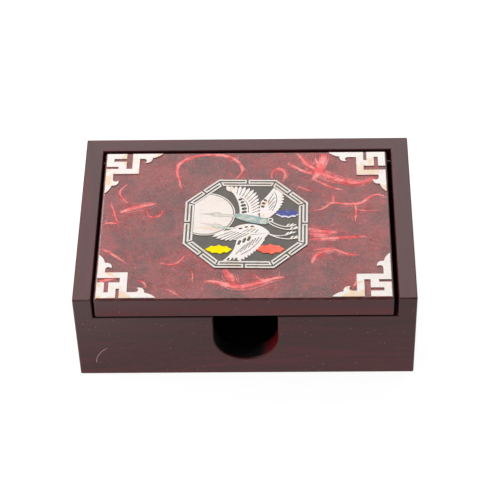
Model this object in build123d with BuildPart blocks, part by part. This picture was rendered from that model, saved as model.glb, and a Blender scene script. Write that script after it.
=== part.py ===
from build123d import *

import math
import os

# Desk box for business cards: a lacquered wooden case, an inset lid that turns
# on two hidden pins, and an inlay of shell on the paper that covers the lid.
# Millimetres. The origin is the middle of the footprint on the table,
# +X is to the right, +Y to the back and +Z up. The lid is shut.

# Case
WIDTH = 110.0
DEPTH = 75.0
WALL_HEIGHT = 36.0
SIDE_THICKNESS = 6.0
BACK_THICKNESS = 6.0
FRONT_THICKNESS = 6.0
FRONT_HEIGHT = 27.8
EDGE_ROUND = 0.5

# Finger notch in the front wall
NOTCH_WIDTH = 21.0
NOTCH_BOTTOM = 7.2
NOTCH_CORNER_ROUND = 0.8

# Floor board, held in a groove round the inside of the walls
FLOOR_UNDERSIDE = 2.0
FLOOR_THICKNESS = 3.0
GROOVE_DEPTH = 2.0
GROOVE_END_GAP = 0.3
LINING_THICKNESS = 1.0
LINING_SIDE_GAP = 0.3

# Lid
LID_SIDE_GAP = 1.1
LID_SIDE_PLAY = -0.25
LID_FRONT_RECESS = 0.1
LID_BACK_GAP = 0.9
LID_SEAT_GAP = 0.1
PAPER_THICKNESS = 0.2

# Hinge pins
PIN_RADIUS = 1.0
PIN_LENGTH = 10.0
PIN_SEAT = 4.0
PIN_PRESS = 0.005
PIN_CLEARANCE = 0.05
PIN_END_CHAMFER = 0.2
PIN_BELOW_TOP = 2.5
PIN_FROM_LID_BACK = 3.2

# Corner keys of shell
KEY_MARGIN = 0.7
KEY_THICKNESS = 0.3
KEY_ARM = 19.0
KEY_BAR = 2.4
KEY_BLOCK_WIDTH = 11.1
KEY_BLOCK_HEIGHT = 9.75
KEY_LONG_SLOT = 2.0
KEY_SIDE_SLOT = 1.1
KEY_SIDE_SLOT_LENGTH = 4.0
KEY_INNER_SLOT = 1.4

# Points of the hook and the flame at the end of a key's arm: back from its tip, above its bar
KEY_HOOK_ROOT = (6.6, 0.0)
KEY_HOOK_BELLY = (5.6, 0.6)
KEY_HOOK_TIP = (6.0, 1.9)
KEY_HOOK_CROWN = (4.4, 1.7)
KEY_HOOK_BACK = (3.6, 0.5)
KEY_FLAME_ROOT = (3.6, -0.3)
KEY_FLAME_SWELL = (1.8, -0.9)

# Medallion
MEDALLION_WIDTH = 40.7
MEDALLION_SIDE = 19.3
MEDALLION_TURN = -1.1
MEDALLION_SHIFT_X = 0.35
MEDALLION_SHIFT_Y = -0.25
GROUND_THICKNESS = 0.15
SHELL_THICKNESS = 0.2
FRET_LINE = 0.62
FRET_CHANNEL = 0.56
FRET_SIDE_GAP = 0.65
FRET_MITRE_GAP = 0.5
FRET_END = 0.5
INLAY_GAP = 0.12

# The picture inside the medallion is drawn for this width and scaled to fit
PICTURE_WIDTH = 40.5
MOON_CENTRE = (-13.5, 4.0)
MOON_RADIUS = 9.2
MOON_RING_GAP = 0.3
MOON_RING_LINE = 0.35
SLIT = 0.24
SLIT_START = 0.08
LEG = 0.36
BEAK_ROOT = 1.0
HEAD_LENGTH = 2.9
HEAD_WIDTH = 1.6
NECK_WIDTH = 0.9
KNEE_RING_RADIUS = 0.95
KNEE_RING_LINE = 0.45
TOE_WIDTH = 0.55

# A cloud's swell and its lobes, as shares of the cloud's length and height
CLOUD_SWELL = 0.39
CLOUD_LOBE = 0.19
CLOUD_LOBE_PLACES = ((-0.26, 0.2), (0.0, 0.3), (0.26, 0.18), (-0.2, -0.22), (0.06, -0.3), (0.3, -0.16))

# Places that follow from the sizes
inner_width = WIDTH - 2 * SIDE_THICKNESS
inner_front = -DEPTH / 2 + FRONT_THICKNESS
inner_back = DEPTH / 2 - BACK_THICKNESS
inner_depth = inner_back - inner_front
inner_middle_y = (inner_front + inner_back) / 2
floor_top = FLOOR_UNDERSIDE + FLOOR_THICKNESS
notch_radius = NOTCH_WIDTH / 2
notch_centre_z = NOTCH_BOTTOM + notch_radius
edge_round = min(EDGE_ROUND, SIDE_THICKNESS / 4, BACK_THICKNESS / 4, FRONT_THICKNESS / 4)

lid_width = inner_width - 2 * LID_SIDE_GAP
lid_front = -DEPTH / 2 + LID_FRONT_RECESS
lid_back = inner_back - LID_BACK_GAP
lid_depth = lid_back - lid_front
lid_x = LID_SIDE_PLAY
lid_y = (lid_front + lid_back) / 2
lid_bottom = FRONT_HEIGHT + LID_SEAT_GAP
paper_top = WALL_HEIGHT
board_top = paper_top - PAPER_THICKNESS
board_thickness = board_top - lid_bottom
lid_round = min(EDGE_ROUND, board_thickness / 4)

pin_y = lid_back - PIN_FROM_LID_BACK
pin_z = WALL_HEIGHT - PIN_BELOW_TOP
pin_bore_depth = PIN_LENGTH - PIN_SEAT

medallion_x = lid_x + MEDALLION_SHIFT_X
medallion_y = lid_y + MEDALLION_SHIFT_Y
ground_top = paper_top + GROUND_THICKNESS
fret_pitch = FRET_LINE + FRET_CHANNEL
fret_band = 2 * fret_pitch + FRET_LINE
picture_scale = MEDALLION_WIDTH / PICTURE_WIDTH

os.makedirs("parts", exist_ok=True)


def save(part, name):
    """Label a finished piece and write it under its own name."""
    part.label = name
    export_step(part, f"parts/{name}.step")


def medallion_plane(height):
    """The medallion's own plane at a height, turned as the inlay was laid."""
    turn = math.radians(MEDALLION_TURN)
    return Plane(
        origin=(medallion_x, medallion_y, height),
        x_dir=(math.cos(turn), math.sin(turn), 0),
        z_dir=(0, 0, 1),
    )


def octagon(inset):
    """Corners of the medallion's outline, drawn in by an inset on every side."""
    straight = MEDALLION_WIDTH / 2 - inset
    slanted = (MEDALLION_WIDTH + MEDALLION_SIDE) / 2 / math.sqrt(2) - inset
    half_side = slanted * math.sqrt(2) - straight
    return [
        (half_side, straight),
        (straight, half_side),
        (straight, -half_side),
        (half_side, -straight),
        (-half_side, -straight),
        (-straight, -half_side),
        (-straight, half_side),
        (-half_side, straight),
    ]


def side_middles(inset):
    """Middle of each side of the octagon at an inset."""
    corners = octagon(inset)
    pairs = zip(corners, corners[1:] + corners[:1])
    return [((a[0] + b[0]) / 2, (a[1] + b[1]) / 2) for a, b in pairs]


def bar(start, end, width):
    """Corners of a straight bar of a given width between two points."""
    run = Vector(*end) - Vector(*start)
    half = Vector(-run.Y, run.X).normalized() * (width / 2)
    first = Vector(*start)
    last = Vector(*end)
    return [first + half, last + half, last - half, first - half]


def feather(root, tip, width):
    """A pointed feather from its root to its tip, as a sketch of two arcs."""
    run = Vector(*tip) - Vector(*root)
    middle = (Vector(*tip) + Vector(*root)) / 2
    half = Vector(-run.Y, run.X).normalized() * (width / 2)
    with BuildSketch(mode=Mode.PRIVATE) as leaf:
        with BuildLine():
            ThreePointArc(root, middle + half, tip)
            ThreePointArc(tip, middle - half, root)
        make_face()
    return leaf.sketch


def outline(*stretches):
    """A face whose edge runs from corner to corner, each stretch an arc through
    a middle point, or straight where that point is None."""
    with BuildSketch(mode=Mode.PRIVATE) as shape:
        with BuildLine():
            for number, (corner, middle) in enumerate(stretches):
                following = stretches[(number + 1) % len(stretches)][0]
                if middle is None:
                    Line(corner, following)
                else:
                    ThreePointArc(corner, middle, following)
        make_face()
    return shape.sketch


def thread(width, *points):
    """A thin curved line of a given width through some points."""
    with BuildSketch(mode=Mode.PRIVATE) as shape:
        with BuildLine():
            Spline(*points)
        trace(line_width=width)
    return shape.sketch


def fan(roots, tips, count, width):
    """Feathers spread from a line of roots to a line of tips."""
    with BuildSketch(mode=Mode.PRIVATE) as spread:
        for number in range(count):
            share = number / (count - 1)
            add(feather(roots @ share, tips @ share, width))
    return spread.sketch


def slits(roots, tips, count, first=0):
    """Saw cuts that part the feathers of a fan, from near the roots to the tips."""
    with BuildSketch(mode=Mode.PRIVATE) as cuts:
        for number in range(first, count - 1):
            share = (number + 0.5) / (count - 1)
            root = roots @ share
            tip = tips @ share
            Polygon(*bar(root + (tip - root) * SLIT_START, tip, SLIT), align=None)
    return cuts.sketch


def windows(places, turn, length, width):
    """Dark windows cut between the bones of a wing."""
    with BuildSketch(mode=Mode.PRIVATE) as cuts:
        for place in places:
            with Locations(Location(place, turn)):
                SlotOverall(length, width)
    return cuts.sketch


def crane_neck(beak, head, bend, shoulder, grow):
    """Head and neck of a crane with its long beak, grown all round by a margin."""
    beak_run = Vector(*head) - Vector(*beak)
    tip = Vector(*beak) - beak_run.normalized() * (2 * grow)
    half = Vector(-beak_run.Y, beak_run.X).normalized() * (BEAK_ROOT / 2 + grow)
    turn = math.degrees(math.atan2(beak_run.Y, beak_run.X))
    with BuildSketch(mode=Mode.PRIVATE) as shape:
        add(thread(NECK_WIDTH + 2 * grow, head, bend, shoulder))
        Polygon(tip, Vector(*head) - half, Vector(*head) + half, align=None)
        with Locations(Location(head, turn)):
            SlotOverall(HEAD_LENGTH + 2 * grow, HEAD_WIDTH + 2 * grow)
    return shape.sketch


def shell_piece(drawing, name):
    """A flat piece of shell cut to a drawing of the picture and laid on the ground."""
    with BuildPart() as piece:
        with BuildSketch(medallion_plane(ground_top)):
            add(scale(drawing, by=picture_scale, mode=Mode.PRIVATE))
            add(picture_field.sketch, mode=Mode.INTERSECT)
        extrude(amount=SHELL_THICKNESS)
    save(piece.part, name)


# Form of the whole case, with every outer edge softened before it is cut into boards
with BuildPart() as case_form:
    with BuildSketch():
        Rectangle(WIDTH, DEPTH)
    extrude(amount=WALL_HEIGHT)
    with BuildSketch(Plane.XY):
        with Locations((0, inner_middle_y)):
            Rectangle(inner_width, inner_depth)
    extrude(amount=WALL_HEIGHT, mode=Mode.SUBTRACT)
    with BuildSketch(Plane.XZ.offset(DEPTH / 2)) as front_opening:
        with Locations((0, FRONT_HEIGHT)):
            Rectangle(inner_width, WALL_HEIGHT, align=(Align.CENTER, Align.MIN))
        with Locations((0, notch_centre_z)):
            Circle(notch_radius)
            Rectangle(NOTCH_WIDTH, WALL_HEIGHT, align=(Align.CENTER, Align.MIN))
        mouth = front_opening.vertices().filter_by_position(Axis.X, -inner_width / 4, inner_width / 4)
        fillet(mouth.filter_by_position(Axis.Y, FRONT_HEIGHT, FRONT_HEIGHT), NOTCH_CORNER_ROUND)
    extrude(amount=-FRONT_THICKNESS, mode=Mode.SUBTRACT)
    edges = case_form.edges()
    mouth_edges = edges.filter_by_position(Axis.Y, inner_front, inner_front)
    mouth_edges = mouth_edges.filter_by_position(Axis.Z, FLOOR_UNDERSIDE, FRONT_HEIGHT)
    mouth_edges = mouth_edges.filter_by_position(Axis.X, -inner_width / 2, inner_width / 2, (False, False))
    softened = (
        list(case_form.faces().sort_by(Axis.Z)[-1].edges())
        + list(case_form.faces().sort_by(Axis.Z)[0].outer_wire().edges())
        + list(edges.filter_by_position(Axis.Y, -DEPTH / 2, -DEPTH / 2))
        + list(edges.filter_by_position(Axis.Y, DEPTH / 2, DEPTH / 2))
        + list(mouth_edges)
    )
    fillet(ShapeList(dict.fromkeys(softened)), edge_round)
    with BuildSketch(Plane.XY.offset(FLOOR_UNDERSIDE)):
        with Locations((0, inner_middle_y)):
            Rectangle(inner_width + 2 * GROOVE_DEPTH, inner_depth + 2 * GROOVE_DEPTH)
    extrude(amount=FLOOR_THICKNESS, mode=Mode.SUBTRACT)

# Boards of the case: plain at the front corners, mitred at the back ones
with BuildPart() as front_wall:
    with BuildSketch():
        with Locations((0, -DEPTH / 2)):
            Rectangle(inner_width, FRONT_THICKNESS, align=(Align.CENTER, Align.MIN))
    extrude(amount=WALL_HEIGHT)
    add(case_form.part, mode=Mode.INTERSECT)
save(front_wall.part, "front_wall")

with BuildPart() as back_wall:
    with BuildSketch():
        Polygon(
            (-WIDTH / 2, DEPTH / 2),
            (-inner_width / 2, inner_back),
            (inner_width / 2, inner_back),
            (WIDTH / 2, DEPTH / 2),
            align=None,
        )
    extrude(amount=WALL_HEIGHT)
    add(case_form.part, mode=Mode.INTERSECT)
save(back_wall.part, "back_wall")

for side_name, side in (("left", -1), ("right", 1)):
    with BuildPart() as side_wall:
        with BuildSketch():
            Polygon(
                (side * inner_width / 2, -DEPTH / 2),
                (side * WIDTH / 2, -DEPTH / 2),
                (side * WIDTH / 2, DEPTH / 2),
                (side * inner_width / 2, inner_back),
                align=None,
            )
        extrude(amount=WALL_HEIGHT)
        add(case_form.part, mode=Mode.INTERSECT)
        with BuildSketch(Plane.YZ.offset(side * inner_width / 2)):
            with Locations((pin_y, pin_z)):
                Circle(PIN_RADIUS - PIN_PRESS)
        extrude(amount=side * PIN_SEAT, mode=Mode.SUBTRACT)
    save(side_wall.part, f"{side_name}_wall")

    with BuildPart() as hinge_pin:
        with BuildSketch(Plane.YZ.offset(side * (inner_width / 2 + PIN_SEAT))):
            with Locations((pin_y, pin_z)):
                Circle(PIN_RADIUS)
        extrude(amount=-side * PIN_LENGTH)
        chamfer(hinge_pin.edges().filter_by(GeomType.CIRCLE), PIN_END_CHAMFER)
    save(hinge_pin.part, f"hinge_pin_{side_name}")

with BuildPart() as bottom_board:
    with BuildSketch(Plane.XY.offset(FLOOR_UNDERSIDE)):
        with Locations((0, inner_middle_y)):
            Rectangle(
                inner_width + 2 * (GROOVE_DEPTH - GROOVE_END_GAP),
                inner_depth + 2 * (GROOVE_DEPTH - GROOVE_END_GAP),
            )
    extrude(amount=FLOOR_THICKNESS)
save(bottom_board.part, "bottom_board")

with BuildPart() as floor_lining:
    with BuildSketch(Plane.XY.offset(floor_top)):
        with Locations((0, inner_middle_y)):
            Rectangle(inner_width - 2 * LINING_SIDE_GAP, inner_depth - 2 * LINING_SIDE_GAP)
    extrude(amount=LINING_THICKNESS)
save(floor_lining.part, "floor_lining")

# Lid board with a blind bore in each end for the pins
with BuildPart() as lid_board:
    with BuildSketch(Plane.XY.offset(lid_bottom)):
        with Locations((lid_x, lid_y)):
            Rectangle(lid_width, lid_depth)
    extrude(amount=board_thickness)
    fillet(lid_board.edges(), lid_round)
    for side in (-1, 1):
        with BuildSketch(Plane.YZ.offset(lid_x + side * lid_width / 2)):
            with Locations((pin_y, pin_z)):
                Circle(PIN_RADIUS + PIN_CLEARANCE)
        extrude(amount=-side * pin_bore_depth, mode=Mode.SUBTRACT)
save(lid_board.part, "lid_board")

with BuildPart() as lid_paper:
    with BuildSketch(Plane.XY.offset(board_top)):
        with Locations((lid_x, lid_y)):
            Rectangle(lid_width - 2 * lid_round, lid_depth - 2 * lid_round)
    extrude(amount=PAPER_THICKNESS)
save(lid_paper.part, "lid_paper")


def from_tip(point):
    """A point of the key's arm that is given back from its tip and above its bar."""
    back, above = point
    return (KEY_ARM - back, KEY_BAR + above)


# Arm of a corner key, drawn along +X from the corner: a straight bar, a hook
# that curls back and a flame that runs out to the tip
with BuildSketch() as key_arm:
    with BuildLine():
        Polyline((KEY_ARM, 0), (0, 0), (0, KEY_BAR), from_tip(KEY_HOOK_ROOT))
        ThreePointArc(from_tip(KEY_HOOK_ROOT), from_tip(KEY_HOOK_BELLY), from_tip(KEY_HOOK_TIP))
        ThreePointArc(from_tip(KEY_HOOK_TIP), from_tip(KEY_HOOK_CROWN), from_tip(KEY_HOOK_BACK))
        Line(from_tip(KEY_HOOK_BACK), from_tip(KEY_FLAME_ROOT))
        ThreePointArc(from_tip(KEY_FLAME_ROOT), from_tip(KEY_FLAME_SWELL), (KEY_ARM, 0))
    make_face()

# Corner key at the front right corner of the lid: its corner is the sketch's origin
with BuildSketch() as corner_key:
    Rectangle(KEY_BLOCK_WIDTH, KEY_BLOCK_HEIGHT, align=(Align.MAX, Align.MIN))
    add(mirror(key_arm.sketch, about=Plane.YZ, mode=Mode.PRIVATE))
    add(key_arm.sketch, rotation=90)
    with Locations((KEY_BAR - KEY_BLOCK_WIDTH, 0)):
        Rectangle(
            KEY_LONG_SLOT, KEY_BLOCK_HEIGHT - KEY_BAR, align=(Align.MIN, Align.MIN), mode=Mode.SUBTRACT
        )
    with Locations((0, KEY_BLOCK_HEIGHT - KEY_BAR)):
        Rectangle(
            KEY_SIDE_SLOT_LENGTH, KEY_SIDE_SLOT, align=(Align.MAX, Align.MAX), mode=Mode.SUBTRACT
        )
    with Locations((KEY_BAR - KEY_BLOCK_WIDTH + KEY_LONG_SLOT, KEY_BAR)):
        Rectangle(
            KEY_BLOCK_WIDTH - 2 * KEY_BAR - KEY_LONG_SLOT,
            KEY_INNER_SLOT,
            align=(Align.MIN, Align.MIN),
            mode=Mode.SUBTRACT,
        )

key_x = lid_width / 2 - KEY_MARGIN
key_y = lid_depth / 2 - KEY_MARGIN
corners = (
    ("front_right", 0, key_x, -key_y),
    ("back_right", 90, key_x, key_y),
    ("back_left", 180, -key_x, key_y),
    ("front_left", 270, -key_x, -key_y),
)
for corner_name, turn, offset_x, offset_y in corners:
    with BuildPart() as corner_ornament:
        with BuildSketch(Plane.XY.offset(paper_top)):
            with Locations(Location((lid_x + offset_x, lid_y + offset_y), turn)):
                add(corner_key.sketch)
        extrude(amount=KEY_THICKNESS)
    save(corner_ornament.part, f"corner_{corner_name}")

# Dark ground of the medallion
with BuildPart() as medallion_ground:
    with BuildSketch(medallion_plane(paper_top)):
        Polygon(*octagon(0), align=None)
    extrude(amount=GROUND_THICKNESS)
save(medallion_ground.part, "medallion_ground")

# Fret border: one line of shell that winds between three rings of the octagon
with BuildSketch() as mitre_ends:
    for outer, inner in zip(octagon(FRET_LINE), octagon(fret_band + FRET_LINE)):
        Polygon(*bar(outer, inner, FRET_MITRE_GAP + 2 * FRET_END), align=None)
    Polygon(*octagon(fret_pitch), align=None, mode=Mode.INTERSECT)
    Polygon(*octagon(fret_band), align=None, mode=Mode.SUBTRACT)

with BuildPart() as medallion_fret:
    with BuildSketch(medallion_plane(ground_top)):
        for ring in range(3):
            Polygon(*octagon(ring * fret_pitch), align=None)
            Polygon(*octagon(ring * fret_pitch + FRET_LINE), align=None, mode=Mode.SUBTRACT)
        add(mitre_ends.sketch)
        middles = list(zip(side_middles(0), side_middles(fret_pitch + FRET_LINE)))
        for outer, inner in middles:
            Polygon(*bar(outer, inner, FRET_SIDE_GAP + 2 * FRET_END), align=None)
        for outer, inner in middles:
            Polygon(*bar(outer, inner, FRET_SIDE_GAP), align=None, mode=Mode.SUBTRACT)
        for outer, inner in zip(octagon(fret_pitch - FRET_CHANNEL / 2), octagon(fret_band + FRET_LINE)):
            Polygon(*bar(outer, inner, FRET_MITRE_GAP), align=None, mode=Mode.SUBTRACT)
    extrude(amount=SHELL_THICKNESS)
save(medallion_fret.part, "medallion_fret")

# Field inside the border, which every piece of the picture is trimmed to
with BuildSketch() as picture_field:
    Polygon(*octagon(fret_band + INLAY_GAP), align=None)

# Upper crane: head and neck in front of the moon, body, two raised wings and legs
upper_neck_line = ((-15.4, 4.1), (-9.8, 3.8), (-6.8, 3.3), (-4.1, 3.25))
with BuildSketch() as upper_neck:
    add(crane_neck(*upper_neck_line, grow=0))

with BuildSketch() as upper_body:
    add(
        outline(
            ((-4.0, 3.7), (-2.6, 4.3)),
            ((-1.4, 4.1), (2.6, 3.3)),
            ((6.8, 2.0), (7.5, 0.6)),
            ((6.0, -0.6), (2.2, 0.0)),
            ((-1.6, 1.4), (-2.9, 2.0)),
            ((-4.0, 2.8), None),
        )
    )

with BuildLine() as upper_left_roots:
    Spline((-5.6, 14.6), (-2.6, 12.4), (0.2, 9.6), (1.6, 4.0))
with BuildLine() as upper_left_tips:
    Spline((-6.9, 17.2), (-1.8, 17.1), (2.2, 15.6), (4.0, 11.6), (4.6, 5.2))
with BuildSketch() as upper_left_form:
    add(
        outline(
            ((-2.2, 3.8), (-3.0, 10.0)),
            ((-7.4, 17.6), (-2.0, 14.2)),
            ((2.0, 10.0), (3.4, 6.4)),
            ((4.2, 2.6), None),
        )
    )
    add(fan(upper_left_roots.line, upper_left_tips.line, 14, 1.4))
    add(upper_body.sketch, mode=Mode.SUBTRACT)
with BuildSketch() as upper_wing_left:
    add(upper_left_form.sketch)
    add(slits(upper_left_roots.line, upper_left_tips.line, 14, first=2), mode=Mode.SUBTRACT)
    add(thread(SLIT, (-2.4, 11.8), (-0.4, 10.1), (0.5, 7.8), (0.6, 4.8)), mode=Mode.SUBTRACT)
    add(windows(((-2.15, 10.85), (-1.45, 9.6)), 20, 1.35, 0.95), mode=Mode.SUBTRACT)
    add(windows(((-1.05, 8.1), (-0.75, 6.55), (-0.7, 5.0)), 20, 1.8, 1.15), mode=Mode.SUBTRACT)

with BuildLine() as upper_right_roots:
    Spline((9.3, 15.4), (9.9, 12.4), (9.5, 8.6), (7.9, 4.6))
with BuildLine() as upper_right_tips:
    Spline((11.6, 14.6), (12.4, 12.0), (11.9, 8.8), (9.9, 5.4))
with BuildLine() as upper_right_quill_roots:
    Spline((6.9, 9.6), (6.9, 8.2), (7.2, 6.8), (7.5, 5.2))
with BuildLine() as upper_right_quill_tips:
    Spline((8.3, 14.6), (9.0, 12.6), (9.3, 10.4), (8.7, 7.4))
with BuildSketch() as upper_right_form:
    add(
        outline(
            ((4.6, 2.6), (4.4, 6.4)),
            ((4.7, 9.9), (6.7, 12.8)),
            ((8.8, 16.6), (11.0, 10.6)),
            ((7.2, 2.2), None),
        )
    )
    add(fan(upper_right_roots.line, upper_right_tips.line, 9, 1.3))
    add(upper_body.sketch, mode=Mode.SUBTRACT)
    add(upper_left_form.sketch, mode=Mode.SUBTRACT)
with BuildSketch() as upper_wing_right:
    add(upper_right_form.sketch)
    add(slits(upper_right_quill_roots.line, upper_right_quill_tips.line, 5), mode=Mode.SUBTRACT)
    add(thread(SLIT, (8.9, 14.8), (9.8, 12.2), (9.6, 8.8), (8.4, 5.6)), mode=Mode.SUBTRACT)
    add(windows(((6.1, 10.6), (5.6, 9.1), (5.35, 7.6)), -30, 1.3, 0.95), mode=Mode.SUBTRACT)

with BuildSketch() as upper_legs:
    with Locations((8.0, 1.4)):
        Circle(KNEE_RING_RADIUS)
    add(thread(LEG, (7.6, 1.2), (10.4, -0.7), (13.4, -1.6), (15.4, -1.0)))
    add(thread(LEG, (7.2, 0.5), (10.6, -2.0), (14.0, -2.9), (17.0, -2.2)))
    for root, tip in (
        ((13.2, -1.6), (14.4, -0.1)),
        ((14.2, -1.5), (15.7, 0.0)),
        ((15.0, -1.2), (16.7, -0.5)),
        ((14.3, -2.9), (15.6, -1.5)),
        ((15.5, -2.7), (16.9, -1.3)),
        ((16.4, -2.4), (17.4, -1.9)),
    ):
        add(feather(root, tip, TOE_WIDTH))
    with Locations((8.0, 1.4)):
        Circle(KNEE_RING_RADIUS - KNEE_RING_LINE, mode=Mode.SUBTRACT)
    add(upper_body.sketch, mode=Mode.SUBTRACT)
    add(upper_right_form.sketch, mode=Mode.SUBTRACT)

# Lower crane: head and neck in front of the moon, wing to the left, wing downwards, legs
lower_neck_line = ((-15.4, -0.1), (-9.5, -1.5), (-6.4, -2.4), (-3.2, -2.5))
with BuildSketch() as lower_neck:
    add(crane_neck(*lower_neck_line, grow=0))

with BuildLine() as lower_left_roots:
    Spline((-4.2, -3.4), (-2.0, -3.9), (0.2, -4.3), (2.0, -4.6))
with BuildLine() as lower_left_tips:
    Spline((-10.8, -6.4), (-8.4, -7.8), (-5.6, -8.2), (-2.4, -7.2))
with BuildLine() as lower_left_quill_roots:
    Spline((0.6, -2.8), (2.0, -2.6), (3.4, -2.6), (4.8, -3.0))
with BuildLine() as lower_left_quill_tips:
    Spline((-1.6, -4.0), (0.4, -4.2), (2.2, -4.4), (3.6, -4.8))
with BuildSketch() as lower_left_form:
    add(
        outline(
            ((-5.6, -4.0), (1.6, -0.5)),
            ((7.9, -4.4), (4.8, -4.9)),
            ((1.6, -5.4), (-2.4, -5.8)),
        )
    )
    add(fan(lower_left_roots.line, lower_left_tips.line, 7, 1.9))
    add(lower_neck.sketch, mode=Mode.SUBTRACT)
with BuildSketch() as lower_wing_left:
    add(lower_left_form.sketch)
    add(slits(lower_left_roots.line, lower_left_tips.line, 7), mode=Mode.SUBTRACT)
    add(slits(lower_left_quill_roots.line, lower_left_quill_tips.line, 5), mode=Mode.SUBTRACT)
    add(windows(((-1.7, -2.6), (0.2, -1.9), (2.1, -1.6)), 12, 1.2, 0.7), mode=Mode.SUBTRACT)

with BuildLine() as lower_right_roots:
    Spline((5.4, -6.2), (3.0, -9.8), (0.6, -12.4), (-3.0, -14.0))
with BuildLine() as lower_right_tips:
    Spline((5.8, -8.6), (4.2, -11.8), (1.6, -15.0), (-1.0, -17.4))
with BuildLine() as lower_right_quill_roots:
    Spline((5.2, -6.2), (3.6, -6.6), (2.2, -7.8), (-0.2, -10.0))
with BuildLine() as lower_right_quill_tips:
    Spline((3.9, -8.3), (2.0, -10.4), (0.0, -12.2), (-3.6, -14.6))
with BuildSketch() as lower_right_form:
    add(
        outline(
            ((7.9, -4.4), (4.6, -9.4)),
            ((-2.0, -16.4), None),
            ((-7.4, -17.5), (-4.4, -13.8)),
            ((-2.9, -8.6), (-2.7, -7.4)),
            ((-2.9, -6.2), (1.6, -5.6)),
        )
    )
    add(fan(lower_right_roots.line, lower_right_tips.line, 10, 1.4))
    add(lower_left_form.sketch, mode=Mode.SUBTRACT)
with BuildSketch() as lower_wing_right:
    add(lower_right_form.sketch)
    add(thread(SLIT, (5.4, -6.6), (3.6, -9.8), (1.2, -12.6), (-1.2, -14.4)), mode=Mode.SUBTRACT)
    add(slits(lower_right_quill_roots.line, lower_right_quill_tips.line, 7), mode=Mode.SUBTRACT)
    add(windows(((-1.9, -9.0), (-0.3, -8.0), (1.2, -7.2)), 72, 2.3, 0.9), mode=Mode.SUBTRACT)
    add(windows(((-5.2, -16.4), (-3.9, -16.4), (-2.7, -16.3)), 60, 1.3, 0.55), mode=Mode.SUBTRACT)

with BuildSketch() as lower_legs:
    add(thread(LEG, (7.4, -4.7), (10.4, -5.8), (13.0, -5.5), (15.2, -4.4)))
    add(thread(LEG, (7.4, -4.8), (10.6, -6.6), (14.0, -7.2), (17.2, -6.6)))
    for root, tip in (
        ((13.0, -5.5), (14.2, -4.0)),
        ((14.0, -5.1), (15.4, -3.5)),
        ((14.9, -4.6), (16.6, -3.9)),
        ((14.5, -7.2), (15.8, -5.7)),
        ((15.7, -7.0), (17.0, -5.6)),
        ((16.5, -6.8), (17.4, -6.2)),
    ):
        add(feather(root, tip, TOE_WIDTH))
    add(lower_left_form.sketch, mode=Mode.SUBTRACT)
    add(lower_right_form.sketch, mode=Mode.SUBTRACT)

# Moon with a thin ring round it, cut out where the two necks pass over it
with BuildSketch() as neck_beds:
    add(crane_neck(*upper_neck_line, grow=INLAY_GAP))
    add(crane_neck(*lower_neck_line, grow=INLAY_GAP))

with BuildSketch() as moon:
    with Locations(MOON_CENTRE):
        Circle(MOON_RADIUS)
    add(neck_beds.sketch, mode=Mode.SUBTRACT)

with BuildSketch() as moon_ring:
    with Locations(MOON_CENTRE):
        Circle(MOON_RADIUS + MOON_RING_GAP + MOON_RING_LINE)
        Circle(MOON_RADIUS + MOON_RING_GAP, mode=Mode.SUBTRACT)
    add(neck_beds.sketch, mode=Mode.SUBTRACT)
    add(upper_body.sketch, mode=Mode.SUBTRACT)
    add(upper_left_form.sketch, mode=Mode.SUBTRACT)
    add(lower_left_form.sketch, mode=Mode.SUBTRACT)


def cloud(centre, length, height):
    """A small drifting cloud: a pointed bar with rounded lobes above and below."""
    x, y = centre
    with BuildSketch(mode=Mode.PRIVATE) as shape:
        add(
            outline(
                ((x - length / 2, y), (x, y + height * CLOUD_SWELL)),
                ((x + length / 2, y), (x, y - height * CLOUD_SWELL)),
            )
        )
        for along, above in CLOUD_LOBE_PLACES:
            with Locations((x + along * length, y + above * height)):
                Circle(height * CLOUD_LOBE)
    return shape.sketch


with BuildSketch() as cloud_yellow:
    add(cloud((-8.5, -12.1), 8.8, 4.0))
    add(lower_right_form.sketch, mode=Mode.SUBTRACT)

with BuildSketch() as cloud_red:
    add(cloud((8.2, -11.8), 9.6, 4.6))
    add(lower_right_form.sketch, mode=Mode.SUBTRACT)

with BuildSketch() as cloud_blue:
    add(cloud((13.4, 4.7), 8.6, 3.3))
    add(upper_right_form.sketch, mode=Mode.SUBTRACT)

with BuildSketch() as cloud_edge:
    add(cloud((13.5, 4.0), 7.6, 3.3))
    add(cloud_blue.sketch, mode=Mode.SUBTRACT)
    add(upper_right_form.sketch, mode=Mode.SUBTRACT)

for drawing, name in (
    (moon, "moon"),
    (moon_ring, "moon_ring"),
    (upper_neck, "upper_crane_neck"),
    (upper_body, "upper_crane_body"),
    (upper_wing_left, "upper_crane_wing_left"),
    (upper_wing_right, "upper_crane_wing_right"),
    (upper_legs, "upper_crane_legs"),
    (lower_neck, "lower_crane_neck"),
    (lower_wing_left, "lower_crane_wing_left"),
    (lower_wing_right, "lower_crane_wing_right"),
    (lower_legs, "lower_crane_legs"),
    (cloud_yellow, "cloud_yellow"),
    (cloud_red, "cloud_red"),
    (cloud_blue, "cloud_blue"),
    (cloud_edge, "cloud_blue_edge"),
):
    shell_piece(drawing.sketch, name)
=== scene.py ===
"""Looks of a lacquered box for business cards, with an inset lid and a shell inlay.

Metres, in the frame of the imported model: +X right, +Y back, +Z up, lid shut.
"""

import logging
import math
import random
from dataclasses import dataclass
from enum import Enum

import bpy
from mathutils import Matrix, Vector


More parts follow.
